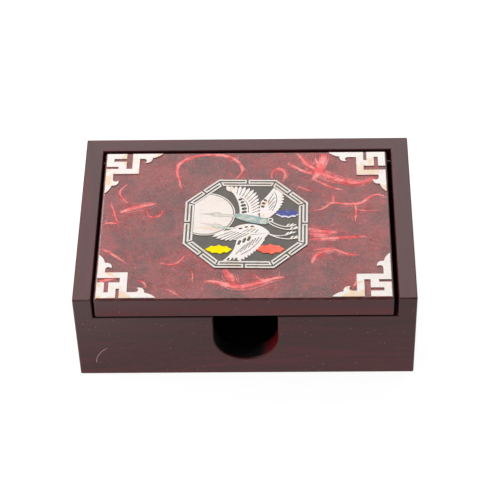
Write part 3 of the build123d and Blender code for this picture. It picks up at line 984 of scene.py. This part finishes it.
@dataclass(frozen=True)
class Steel:
    """Blackened steel of the hinge pins, brushed along.

    Attributes:
        name: name of the material.
        bright: its palest colour.
        dull: its darkest colour.
        brush: pattern of the brushed lines.
        stain: pattern of the stains.
        stain_share: share of the dull colour.
        sheen: roughness over the brushed lines.
        depth: height of the brushed lines.
    """

    name: str
    bright: Colour = (0.022, 0.021, 0.020)
    dull: Colour = (0.010, 0.010, 0.010)
    brush: Clouds = Clouds(0.12 * MM, 3.0, 0.6)
    stain: Clouds = Clouds(2 * MM, 4.0, 0.7)
    stain_share: Step = Step(0.45, 0.7)
    sheen: Step = Step(0.2, 0.8, 0.22, 0.42)
    depth: float = 0.01 * MM

    def build(self) -> bpy.types.Material:
        """Build the finish.

        Returns:
            The material.
        """
        graph = Graph(self.name, Metallic=1.0)
        brush = graph.noise(self.brush, graph.mapped(stretch=Grain.ALONG_X.value))
        stain = graph.ramp(graph.noise(self.stain), self.stain_share)
        graph.surface("Base Color", graph.mix(stain, self.bright, self.dull))
        graph.surface("Roughness", graph.ramp(brush, self.sheen))
        graph.relief((brush, self.depth))
        return graph.material


def dress(node: str, material: bpy.types.Material) -> None:
    """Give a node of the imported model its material.

    Args:
        node: name of the node.
        material: its new material.
    """
    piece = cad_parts[node]
    piece.data.materials.clear()
    piece.data.materials.append(material)
    log.info("dressed %s in %s", node, material.name)


@dataclass
class Case:
    """The box itself: four walls, the floor with its lining and the two hinge pins.

    Attributes:
        walls: the walls, front and back first.
        pins: the hinge pins.
        rim: how far the painted shade of the inside stays away from an outer face.
        joint_depth: how far the joint's painted shade goes into each board.
        notch_soft: half width of the notch's soft borders on each axis.
        notch_painted_highlight: colour of the painted highlight on the notch's lit edge.
        notch_painted_shade: colour of the painted shade on the rest of its edge.
        highlight_start: where the painted highlight starts, from the middle to the right.
        floor_warmth: how red the floor is.
    """

    walls: tuple[str, ...] = ("front_wall", "back_wall", "left_wall", "right_wall")
    pins: tuple[str, ...] = ("hinge_pin_left", "hinge_pin_right")
    rim: float = 0.9 * MM
    joint_depth: float = 0.28 * MM
    notch_soft: Vector = Vector((2.4, 0.3, 0.3)) * MM
    # Painted highlight in red on the notch's lit edge, painted shade near black on the rest.
    notch_painted_highlight: Colour = (0.17, 0.008, 0.012)
    notch_painted_shade: Colour = (0.0022, 0.0008, 0.0009)
    highlight_start: float = 6.72 * MM
    floor_warmth: float = 0.6

    def outside(self) -> Box:
        """Box round the four walls.

        Returns:
            The box.
        """
        walls = [Box.of(name) for name in self.walls]
        low = Vector(min(wall.low[axis] for wall in walls) for axis in range(3))
        high = Vector(max(wall.high[axis] for wall in walls) for axis in range(3))
        return Box(low, high)

    def well(self) -> Box:
        """Space between the walls, up to just under their top.

        Returns:
            The box.
        """
        front, back, left, right = (Box.of(name) for name in self.walls)
        low = Vector((left.high.x, front.high.y, 0))
        return Box(low, Vector((right.low.x, back.low.y, back.high.z - self.rim)))

    def gaps(self) -> tuple[Box, Box]:
        """Spaces over the front wall, behind its face, at the left and right of the lid, where shade is
        painted.

        Returns:
            The two boxes.
        """
        front, lid, well = Box.of("front_wall"), Box.of("lid_board"), self.well()
        low = Vector((well.low.x, front.low.y + self.rim, front.high.z - self.rim / 2))
        high = Vector((well.high.x, front.high.y, well.high.z))
        return Box(low, Vector((lid.low.x, high.y, high.z))), Box(Vector((lid.high.x, low.y, low.z)), high)

    def joint(self) -> Box:
        """Thin space between the lid's front and the front wall, where shade is painted dark on the lacquer.

        Returns:
            The box.
        """
        front, lid, well = Box.of("front_wall"), Box.of("lid_board"), self.well()
        low = Vector((well.low.x + self.rim / 3, front.low.y - self.rim, front.high.z - self.joint_depth))
        high = Vector((well.high.x - self.rim / 3, front.low.y + self.rim, lid.low.z + self.joint_depth))
        return Box(low, high)

    def notch(self) -> tuple[PaintedShading, PaintedShading]:
        """The notch's edge through the front wall, with a painted highlight in red at the right, where the
        key light falls, and painted shade elsewhere.

        Returns:
            The painted highlight and the painted shade, which lies over it.
        """
        front, middle = Box.of("front_wall"), self.outside().centre.x
        low = Vector((middle - front.half.x / 2, front.low.y + self.rim / 2, front.low.z + self.rim))
        high = Vector((middle + front.half.x / 2, front.high.y - self.rim / 2, front.high.z - self.rim))
        dark = Vector((middle + self.highlight_start, front.high.y, high.z))
        # Painted highlight in red, and painted shade in near black over the rest of the edge.
        red = PaintedShading(Box(low, high), self.notch_painted_highlight, 0.0, self.notch_soft)
        return red, PaintedShading(Box(low, dark), self.notch_painted_shade, soft=self.notch_soft)

    def dress(self) -> None:
        """Give each of the case's nodes its finish."""
        outside = self.outside()
        # Painted shade: the well, the gaps beside the lid and the joint under its front are coloured near
        # black and rougher, where shadow falls.
        shaded_boxes = tuple(PaintedShading(box) for box in (self.well(), *self.gaps(), self.joint()))
        face = Lacquer("lacquer_front", Grain.ALONG_X, outside, (*self.notch(), *shaded_boxes)).build()
        crosswise = Lacquer("lacquer_walls_crosswise", Grain.ALONG_X, outside, shaded_boxes).build()
        lengthwise = Lacquer("lacquer_walls_lengthwise", Grain.ALONG_Y, outside, shaded_boxes).build()
        for wall, finish in zip(self.walls, (face, crosswise, lengthwise, lengthwise)):
            dress(wall, finish)
        bottom = Box.of("bottom_board")
        floor = Lacquer("lacquer_floor", Grain.ALONG_X, bottom, warmth=self.floor_warmth)
        dress("bottom_board", floor.build())
        dress("floor_lining", Felt("felt_lining").build())
        steel = Steel("steel_pins").build()
        for pin in self.pins:
            dress(pin, steel)


@dataclass(frozen=True)
class Bundle:
    """A thick fibre of the paper, as it curls over the lid.

    Attributes:
        points: its line in millimetres from the middle of the paper.
        width: its width in millimetres.
        stray: how many hairs leave it.
    """

    points: tuple[Point, ...]
    width: float
    stray: int = 0


BUNDLES = (
    Bundle(
        (
            (-21.4, 16.2), (-22.4, 20.6), (-23.2, 24.6), (-22.8, 27.9), (-20.4, 30.6), (-16.4, 32.5),
            (-12.4, 33.2), (-8.4, 32.9), (-4.4, 31.6), (-2.1, 29.2), (-1.0, 26.6), (-1.1, 23.6), (-3.1, 20.9),
        ),
        1.0,
        46,
    ),
    Bundle(((-41.4, 5.2), (-38.8, 6.9), (-35.4, 7.9), (-32.4, 8.7), (-29.4, 9.6)), 1.2, 10),
    Bundle(((-32.8, 6.2), (-32.3, 4.2), (-30.8, 2.9), (-28.8, 3.2), (-27.2, 4.6), (-27.4, 6.2)), 0.4, 3),
    Bundle(((-44.8, 9.2), (-43.4, 5.9), (-42.8, 2.6), (-41.4, 0.2)), 0.4, 2),
    Bundle(((-47.1, -0.1), (-44.4, 0.6), (-41.1, -0.1)), 0.6, 3),
    Bundle(((-39.8, 18.6), (-41.8, 16.2), (-42.1, 14.2), (-40.8, 11.6), (-39.1, 9.9)), 0.5, 3),
    Bundle(((-47.1, -11.4), (-44.8, -12.4), (-42.8, -14.1), (-40.4, -15.8), (-38.1, -17.8)), 0.5, 3),
    Bundle(((-34.4, -25.4), (-32.1, -26.4), (-31.1, -28.8)), 0.4, 2),
    Bundle(((-47.4, -26.3), (-45.4, -25.5), (-42.8, -24.8), (-41.0, -24.6)), 1.6, 2),
    Bundle(((26.5, 33.8), (26.2, 30.6), (25.6, 27.2), (24.4, 23.9), (22.6, 20.4)), 2.1, 16),
    Bundle(
        (
            (17.2, 33.4), (18.9, 30.9), (20.9, 27.9), (23.9, 24.9), (26.9, 22.6), (30.9, 20.4),
            (35.6, 18.9), (39.6, 18.9), (43.6, 21.2),
        ),
        1.5,
        40,
    ),
    Bundle(((14.2, 28.6), (16.9, 26.2), (20.2, 24.2), (22.9, 22.9)), 0.8, 8),
    Bundle(
        ((8.9, 20.9), (8.8, 23.2), (9.7, 25.2), (11.6, 25.8), (13.2, 24.2), (13.6, 21.9), (12.2, 19.6)),
        0.7,
        8,
    ),
    Bundle(((22.6, 20.4), (25.6, 18.6), (28.2, 16.6), (33.2, 14.9)), 0.5, 4),
    Bundle(
        (
            (21.6, 5.6), (24.9, 6.0), (27.2, 7.6), (29.2, 9.2), (32.2, 8.8), (36.2, 8.6), (38.9, 9.2),
            (41.2, 11.6), (44.2, 13.2), (47.1, 11.6),
        ),
        0.7,
        8,
    ),
    Bundle(((29.2, 9.2), (29.4, 11.6), (29.2, 13.2)), 0.4, 1),
    Bundle(((36.6, 8.6), (36.8, 4.6), (36.2, 0.6)), 0.5, 3),
    Bundle(((36.9, 5.9), (40.2, 5.2), (45.6, 5.6)), 0.3, 2),
    Bundle(((20.9, -2.8), (23.6, -3.8), (26.9, -4.4), (30.2, -4.8)), 1.3, 16),
    Bundle(((21.2, -4.8), (24.9, -5.8), (28.2, -5.4)), 1.0, 14),
    Bundle(((20.9, -7.8), (25.6, -7.6), (30.2, -7.4), (34.9, -6.9), (39.6, -6.6)), 0.8, 14),
    Bundle(((21.9, -12.8), (25.6, -12.1), (29.6, -12.4), (32.9, -14.4), (37.2, -15.1)), 0.7, 12),
    Bundle(((21.9, -18.4), (22.9, -15.4), (25.2, -13.4), (28.9, -12.8)), 0.9, 12),
    Bundle(
        (
            (-12.8, -26.1), (-9.1, -26.4), (-5.8, -27.8), (-1.8, -28.8), (1.6, -28.1), (5.6, -26.8),
            (9.6, -25.1), (13.2, -24.6),
        ),
        1.5,
        26,
    ),
    Bundle(((-6.1, -21.1), (-4.8, -23.4), (-3.8, -25.1), (-2.8, -27.8)), 1.9, 12),
    Bundle(((-27.1, -18.0), (-23.8, -18.8), (-21.1, -17.4), (-19.4, -14.8)), 0.5, 4),
    Bundle(((-25.1, -29.4), (-22.4, -31.1), (-20.1, -33.1)), 0.4, 2),
    Bundle(((-17.1, -21.4), (-16.4, -23.4), (-16.8, -25.4)), 0.4, 3),
    Bundle(((3.6, -23.1), (4.6, -25.1), (6.9, -26.1)), 0.4, 3),
    Bundle(((17.6, 17.2), (19.6, 15.9), (22.2, 14.6)), 0.4, 2),
    Bundle(((23.6, 30.6), (24.6, 27.2), (24.9, 24.6)), 0.6, 8),
    Bundle(((34.6, -29.4), (35.6, -27.8), (36.2, -26.4)), 0.4, 1),
)


@dataclass
class PaperFibres:
    """Long fibres of the lid's paper, modelled hair by hair just proud of its face.

    Lengths are in metres where they are given in MM, and else in millimetres.

    Attributes:
        seed: seed of the random draws.
        hair: radius of a hair in a bundle.
        fine_hair: radius of a lone hair.
        fine_count: how many lone hairs there are.
        flatness: height of a hair, as a share of its width.
        edge_gap: how far the hairs stay away from the paper's edge.
        shortest: how many points a hair has at least.
        thin_end: width of a hair's end, as a share of its middle.
        swell: how soon it is as wide as its middle.
        order: order of the curve through its points.
        point_step: length of a bundle between two points.
        fewest_points: how many points a bundle has at least.
        pitch: width of a bundle that one hair takes.
        fewest_hairs: how many hairs a bundle has at least.
        loose_share: share of a bundle's hairs that lie loose.
        loose_spread: how far loose hairs spread, as a share of the width.
        tight_spread: how far the other hairs spread.
        loose_cut: a loose hair may lose this part of its points at an end.
        tight_cut: another hair may lose this part of its points at an end.
        phase: range of the waves' start.
        waves: range of the waves' height, as a share of the width.
        wave_turn: turn of a wave from point to point.
        taper: how sharply a bundle narrows towards its ends.
        taper_room: points added to a point's number and to the count in that taper.
        stray_along: how far a stray hair leaves along the bundle.
        stray_across: how far it leaves across it.
        stray_length: range of its length.
        curl_step: length of a free hair between two points.
        fewest_steps: how many steps a free hair has at least.
        curl_spread: spread of a free hair's whole turn.
        curl_jitter: spread of its turn at each point.
        cloud_count: how many clouds the lone hairs gather in.
        cloud_share: share of the lone hairs that lie in them.
        cloud_spread: spread of a cloud, across and up.
        near_share: share of the lone hairs that lie near the bundles.
        near_spread: how far they lie from them.
        lone_length: range of a lone hair's length.
    """

    seed: int = 11
    hair: float = 0.085 * MM
    fine_hair: float = 0.05 * MM
    fine_count: int = 3800
    flatness: float = 0.22
    edge_gap: float = 0.3 * MM
    shortest: int = 4
    thin_end: float = 0.35
    swell: float = 0.5
    order: int = 3
    point_step: float = 1.2
    fewest_points: int = 6
    pitch: float = 0.029
    fewest_hairs: int = 3
    loose_share: float = 0.33
    loose_spread: float = 0.85
    tight_spread: float = 0.24
    loose_cut: int = 2
    tight_cut: int = 6
    phase: float = 6.3
    waves: Point = (0.12, 0.3)
    wave_turn: float = 0.9
    taper: float = 0.4
    taper_room: Point = (0.8, 0.6)
    stray_along: Point = (0.4, 1.0)
    stray_across: float = 0.9
    stray_length: Point = (1.0, 3.6)
    curl_step: float = 0.7
    fewest_steps: int = 4
    curl_spread: float = 0.9
    curl_jitter: float = 0.12
    cloud_count: int = 26
    cloud_share: float = 0.35
    cloud_spread: Point = (4.0, 3.2)
    near_share: float = 0.4
    near_spread: float = 2.2
    lone_length: Point = (1.2, 6.0)

    def __post_init__(self) -> None:
        """Read the paper's place and that of the medallion on it."""
        self.paper = Box.of("lid_paper")
        self.ground = Box.of("medallion_ground")
        self.draws = random.Random(self.seed)

    def bare(self, point: Vector) -> bool:
        """Whether a point of the paper is clear of its edge and of the medallion.

        Args:
            point: the point, in metres.

        Returns:
            True where a hair may lie.
        """
        away = point - self.paper.centre
        inside = all(abs(away[axis]) < self.paper.half[axis] - self.edge_gap for axis in range(2))
        from_medallion = (point - self.ground.centre).to_2d()
        return inside and from_medallion.length > self.ground.half.x

    def smooth(self, points: tuple[Point, ...], count: int) -> list[Vector]:
        """Draw a smooth line through points.

        Args:
            points: the line's points in millimetres from the middle of the paper.
            count: how many points come back.

        Returns:
            Points at equal steps along the line.
        """
        ends = [points[0], *points, points[-1]]
        line = []
        for number in range(count):
            at = number / (count - 1) * (len(points) - 1)
            start = min(int(at), len(points) - 2)
            share = at - start
            before, first, second, after = (Vector(ends[start + step]) for step in range(4))
            bent = 0.5 * (
                2 * first
                + (second - before) * share
                + (2 * before - 5 * first + 4 * second - after) * share**2
                + (3 * first - before - 3 * second + after) * share**3
            )
            line.append(bent)
        return line

    def lay(self, point: Vector) -> Vector:
        """Place of a point given in millimetres from the paper's middle, on its face."""
        flat = self.paper.centre.to_2d() + point * MM
        return Vector((flat.x, flat.y, self.paper.high.z))

    def strand(self, middle: list[Vector], width: float) -> list[Vector]:
        """One hair of a bundle.

        Args:
            middle: the bundle's middle line.
            width: the bundle's width.

        Returns:
            The hair's points.
        """
        draws, count = self.draws, len(middle)
        loose = draws.random() < self.loose_share
        side = draws.gauss(0, self.loose_spread if loose else self.tight_spread) * width
        spare = count // (self.loose_cut if loose else self.tight_cut)
        first = draws.randrange(0, max(1, spare))
        last = count - draws.randrange(0, max(1, spare - first + 1))
        turn, wave = draws.uniform(0, self.phase), draws.uniform(*self.waves)
        room, spare_room = self.taper_room
        hair = []
        for number in range(first, last):
            before = middle[max(number - 1, 0)]
            after = middle[min(number + 1, count - 1)]
            across = Vector((-(after - before).y, (after - before).x)).normalized()
            narrow = math.sin(math.pi * (number + room) / (count + spare_room)) ** self.taper
            sway = math.sin(turn + number * self.wave_turn) * wave * width
            hair.append(middle[number] + across * (side + sway) * narrow)
        return hair

    def stray(self, middle: list[Vector]) -> list[Vector]:
        """One hair that leaves a bundle.

        Args:
            middle: the bundle's middle line.

        Returns:
            The hair's points.
        """
        draws = self.draws
        number = draws.randrange(1, len(middle) - 1)
        along = (middle[number + 1] - middle[number - 1]).normalized()
        way = along * draws.choice((-1, 1)) * draws.uniform(*self.stray_along)
        way += Vector((-along.y, along.x)) * draws.uniform(-self.stray_across, self.stray_across)
        return self.curl(middle[number], way.normalized(), draws.uniform(*self.stray_length))

    def hairs_of(self, bundle: Bundle) -> list[list[Vector]]:
        """The hairs of one bundle.

        Args:
            bundle: the bundle.

        Returns:
            One list of points for each hair.
        """
        pairs = zip(bundle.points, bundle.points[1:])
        length = sum((Vector(first) - Vector(second)).length for first, second in pairs)
        middle = self.smooth(bundle.points, max(self.fewest_points, int(length / self.point_step)))
        count = max(self.fewest_hairs, round(bundle.width / self.pitch))
        hairs = [self.strand(middle, bundle.width) for _ in range(count)]
        return hairs + [self.stray(middle) for _ in range(bundle.stray)]

    def curl(self, start: Vector, way: Vector, length: float) -> list[Vector]:
        """A free hair that curls steadily as it runs.

        Args:
            start: its first point in millimetres from the paper's middle.
            way: its first direction.
            length: its length in millimetres.

        Returns:
            The hair's points.
        """
        steps = max(self.fewest_steps, round(length / self.curl_step))
        turn = self.draws.gauss(0, self.curl_spread) / steps
        hair = [start]
        for _ in range(steps):
            angle = turn + self.draws.gauss(0, self.curl_jitter)
            cosine, sine = math.cos(angle), math.sin(angle)
            way = Vector((way.x * cosine - way.y * sine, way.x * sine + way.y * cosine))
            hair.append(hair[-1] + way * (length / steps))
        return hair

    def anywhere(self) -> Vector:
        """A random point of the paper, in millimetres from its middle."""
        half = self.paper.half / MM
        return Vector((self.draws.uniform(-half.x, half.x), self.draws.uniform(-half.y, half.y)))

    def near(self, point: Vector, across: float, up: float) -> Vector:
        """A random point near another one, in millimetres."""
        return point + Vector((self.draws.gauss(0, across), self.draws.gauss(0, up)))

    def fine_hairs(self) -> list[list[Vector]]:
        """Lone hairs, gathered in loose clouds and round the bundles.

        Returns:
            One list of points for each hair.
        """
        draws = self.draws
        clouds = [self.anywhere() for _ in range(self.cloud_count)]
        hairs = []
        for _ in range(self.fine_count):
            pick = draws.random()
            if pick < self.near_share:
                start = Vector(draws.choice(draws.choice(BUNDLES).points))
                start = self.near(start, self.near_spread, self.near_spread)
            elif pick < self.near_share + self.cloud_share:
                start = self.near(draws.choice(clouds), *self.cloud_spread)
            else:
                start = self.anywhere()
            angle = draws.uniform(0, 2 * math.pi)
            way = Vector((math.cos(angle), math.sin(angle)))
            hairs.append(self.curl(start, way, draws.uniform(*self.lone_length)))
        return hairs

    def visible(self, hair: list[Vector]) -> list[Vector]:
        """The first stretch of a hair that lies on bare paper.

        Args:
            hair: its points in millimetres from the paper's middle.

        Returns:
            The stretch's points in metres.
        """
        laid = []
        for place in map(self.lay, hair):
            if self.bare(place):
                laid.append(place)
            elif laid:
                break
        return laid

    def build_piece(self, name: str, hairs: list[list[Vector]], radius: float) -> bpy.types.Object:
        """Model a set of hairs as one piece that rides on the lid.

        Args:
            name: name of the piece.
            hairs: lists of points in millimetres from the paper's middle.
            radius: radius of a hair, in metres.

        Returns:
            The piece.
        """
        bpy.ops.object.select_all(action="DESELECT")
        bpy.ops.curve.primitive_nurbs_path_add()
        piece = bpy.context.object
        piece.name = name
        curve = piece.data
        curve.splines.clear()
        for laid in map(self.visible, hairs):
            if len(laid) < self.shortest:
                continue
            spline = curve.splines.new("NURBS")
            spline.points.add(len(laid) - 1)
            for number, (target, place) in enumerate(zip(spline.points, laid)):
                target.co = (*place, 1.0)
                bulge = abs(math.sin(math.pi * number / (len(laid) - 1))) ** self.swell
                target.radius = self.thin_end + (1 - self.thin_end) * bulge
            spline.use_endpoint_u = True
            spline.order_u = self.order
        curve.resolution_u = 1
        curve.bevel_depth = radius
        curve.bevel_resolution = 0
        curve.use_fill_caps = True
        bpy.ops.object.convert(target="MESH")
        piece = bpy.context.object
        bpy.ops.object.mode_set(mode="EDIT")
        bpy.ops.mesh.select_all(action="SELECT")
        bpy.ops.transform.resize(value=(1.0, 1.0, self.flatness), center_override=(0, 0, self.paper.high.z))
        bpy.ops.object.mode_set(mode="OBJECT")
        bpy.ops.object.shade_smooth()
        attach(piece, "lid")
        log.info("built %s: %d hairs, %d faces", name, len(hairs), len(piece.data.polygons))
        return piece

    def build(self) -> None:
        """Model the bundles and the lone hairs and give them their finish."""
        thick = [hair for bundle in BUNDLES for hair in self.hairs_of(bundle)]
        bundles = self.build_piece("paper_fibre_bundles", thick, self.hair)
        coral = Fibre("fibre_bundles", (0.76, 0.070, 0.076), (0.98, 0.34, 0.32))
        bundles.data.materials.append(coral.build())
        lone = self.build_piece("paper_fine_fibres", self.fine_hairs(), self.fine_hair)
        crimson = Fibre("fibre_fine", (0.42, 0.052, 0.056), (0.72, 0.145, 0.150))
        lone.data.materials.append(crimson.build())


@dataclass
class Lid:
    """The inset lid: a thick board with fibre paper on its top.

    Attributes:
        dark: colour of its deepest lacquer.
        warmth: how red its lacquer is.
    """

    dark: Colour = (0.062, 0.015, 0.018)
    warmth: float = 1.35

    def dress(self) -> None:
        """Give the board and the paper their finish and lay the paper's fibres."""
        # Painted shade in the joint along the lid's lower front edge.
        joint = (PaintedShading(Case().joint()),)
        board = Lacquer("lacquer_lid", Grain.ALONG_X, Box.of("lid_board"), joint, self.warmth, self.dark)
        dress("lid_board", board.build())
        dress("lid_paper", FibrePaper("fibre_paper_red", Box.of("lid_paper")).build())
        PaperFibres().build()


@dataclass
class Inlay:
    """The shell on the lid: four corner keys and the medallion with its picture.

    Attributes:
        keys: the corners that have a key.
        necks: the cranes' necks.
        white: the white pieces of the picture.
        pearl: finish of the keys.
        feather: finish of the white pieces.
        neck: finish of the necks.
        others: finish of each other piece of shell.
    """

    keys: tuple[str, ...] = ("front_right", "back_right", "back_left", "front_left")
    necks: tuple[str, ...] = ("upper_crane_neck", "lower_crane_neck")
    white: tuple[str, ...] = (
        "moon_ring",
        "upper_crane_wing_left",
        "upper_crane_wing_right",
        "upper_crane_legs",
        "lower_crane_wing_left",
        "lower_crane_wing_right",
        "lower_crane_legs",
    )
    pearl: Shell = Shell("shell_white", Tone.WHITE)
    feather: Shell = Shell("shell_feathers", Tone.WHITE, patch_size=3.6 * MM, patch_start=0.57)
    neck: Shell = Shell("shell_neck", Tone.NECK, 0.2, patch_size=2.2 * MM, vein_share=0.8)
    others: tuple[tuple[str, Shell], ...] = (
        ("moon", Shell("shell_moon", Tone.MOON, 0.25, 0.5, 6.5 * MM, 0.56, vein_share=0.55)),
        ("medallion_fret", Shell("shell_fret", Tone.FRET, 0.2)),
        ("upper_crane_body", Shell("shell_teal", Tone.TEAL, 0.1, 0.5, 2.4 * MM, vein_share=0.85)),
        ("cloud_yellow", Shell("shell_yellow", Tone.YELLOW, 0.0, 0.02)),
        ("cloud_red", Shell("shell_red", Tone.RED, 0.0, 0.25)),
        ("cloud_blue", Shell("shell_blue", Tone.BLUE, 0.0, 0.06, 1.6 * MM, 0.54, vein_share=0.6)),
        ("cloud_blue_edge", Shell("shell_pale_blue", Tone.PALE_BLUE, 0.1)),
    )

    def dress(self) -> None:
        """Give each piece of shell and the dark ground their finish."""
        corners = tuple(f"corner_{place}" for place in self.keys)
        for names, finish in ((corners, self.pearl), (self.white, self.feather), (self.necks, self.neck)):
            material = finish.build()
            for name in names:
                dress(name, material)
        for name, finish in self.others:
            dress(name, finish.build())
        dress("medallion_ground", DarkGround("ground_black").build())


@dataclass(frozen=True)
class Softbox:
    """A large soft light.

    Attributes:
        name: its name.
        place: where it hangs, in metres from the middle of the object.
        width: its width in metres.
        height: its height in metres.
        radiance: how bright its face looks, where 1 is white.
    """

    name: str
    place: tuple[float, float, float]
    width: float
    height: float
    radiance: float

    def build(self, target: Vector) -> None:
        """Hang the light and point it at the object.

        Args:
            target: middle of the object.
        """
        data = bpy.data.lights.new(self.name, "AREA")
        data.shape = "RECTANGLE"
        data.size = self.width
        data.size_y = self.height
        data.energy = self.radiance * math.pi * self.width * self.height
        light = bpy.data.objects.new(self.name, data)
        bpy.context.scene.collection.objects.link(light)
        light.location = target + Vector(self.place)
        light.rotation_euler = (target - light.location).to_track_quat("-Z", "Y").to_euler()
        log.info("hung %s", self.name)


@dataclass
class Studio:
    """White floor, soft light and the camera.

    Attributes:
        camera_place: the camera's place in metres.
        pitch: how far the camera looks down, in radians.
        yaw: its turn to the left, in radians.
        roll: its roll, in radians.
        lens: focal length in millimetres.
        sensor: width of the sensor in millimetres.
        clip: nearest and farthest distance that it sees, in metres.
        floor_half: half of the floor's width in metres.
        floor_below: how far the floor lies below the object.
        floor_white: grey level of the floor.
        floor_matt: roughness of the floor.
        floor_gloss: strength of its reflections.
        floor_glow: strength of its glow.
        world_strength: strength of the light from all round.
        softboxes: the lights.
    """

    camera_place: tuple[float, float, float] = (0.01551, -0.45804, 0.49574)
    pitch: float = 0.80448
    yaw: float = 0.03153
    roll: float = 0.03002
    lens: float = 141.3
    sensor: float = 36.0
    clip: Point = (0.01, 20.0)
    floor_half: float = 3.0
    floor_below: float = 0.05 * MM
    floor_white: float = 0.2
    floor_matt: float = 0.9
    floor_gloss: float = 0.1
    floor_glow: float = 0.9
    world_strength: float = 0.14
    softboxes: tuple[Softbox, ...] = (
        Softbox("softbox_back", (0.0, 0.84, 0.87), 1.6, 1.2, 3.1),
        Softbox("softbox_key", (-0.95, -0.14, 0.85), 0.55, 0.55, 10.0),
    )

    def build_camera(self) -> None:
        """Set up the camera."""
        data = bpy.data.cameras.new("camera")
        data.lens = self.lens
        data.sensor_width = self.sensor
        data.clip_start, data.clip_end = self.clip
        camera = bpy.data.objects.new("camera", data)
        bpy.context.scene.collection.objects.link(camera)
        turn = Matrix.Rotation(self.yaw, 4, "Z") @ Matrix.Rotation(-self.pitch, 4, "X")
        turn = turn @ Matrix.Rotation(self.roll, 4, "Y") @ Matrix.Rotation(math.pi / 2, 4, "X")
        camera.matrix_world = Matrix.Translation(self.camera_place) @ turn
        bpy.context.scene.camera = camera

    def build_floor(self) -> None:
        """Lay the floor."""
        bpy.ops.object.select_all(action="DESELECT")
        bpy.ops.mesh.primitive_plane_add(size=2 * self.floor_half, location=(0, 0, 0))
        floor = bpy.context.object
        floor.name = "floor"
        floor.data.transform(Matrix.Translation((0, 0, cad_box[0].z - self.floor_below)))
        graph = Graph(
            "floor_paper",
            Roughness=self.floor_matt,
            Specular_IOR_Level=self.floor_gloss,
            Emission_Strength=self.floor_glow,
        )
        graph.surface("Base Color", (self.floor_white,) * 3)
        graph.surface("Emission Color", (1.0, 1.0, 1.0))
        floor.data.materials.append(graph.material)

    def build_light(self, target: Vector) -> None:
        """Light the scene.

        Args:
            target: middle of the object.
        """
        world = bpy.data.worlds.new("studio")
        world.use_nodes = True
        background = world.node_tree.nodes["Background"]
        background.inputs["Color"].default_value = (1.0, 1.0, 1.0, 1.0)
        background.inputs["Strength"].default_value = self.world_strength
        bpy.context.scene.world = world
        for softbox in self.softboxes:
            softbox.build(target)

    def build(self, target: Vector) -> None:
        """Set up the whole studio.

        Args:
            target: middle of the object.
        """
        bpy.context.scene.view_settings.view_transform = "Standard"
        self.build_camera()
        self.build_floor()
        self.build_light(target)
        log.info("set up the studio")


def main() -> None:
    """Build the studio and dress each sub-assembly in turn."""
    logging.basicConfig(level=logging.INFO, format="%(name)s: %(message)s")
    middle = (cad_box[0] + cad_box[1]) / 2
    Studio().build(middle)
    Case().dress()
    Lid().dress()
    Inlay().dress()


if __name__ == "__main__":
    main()
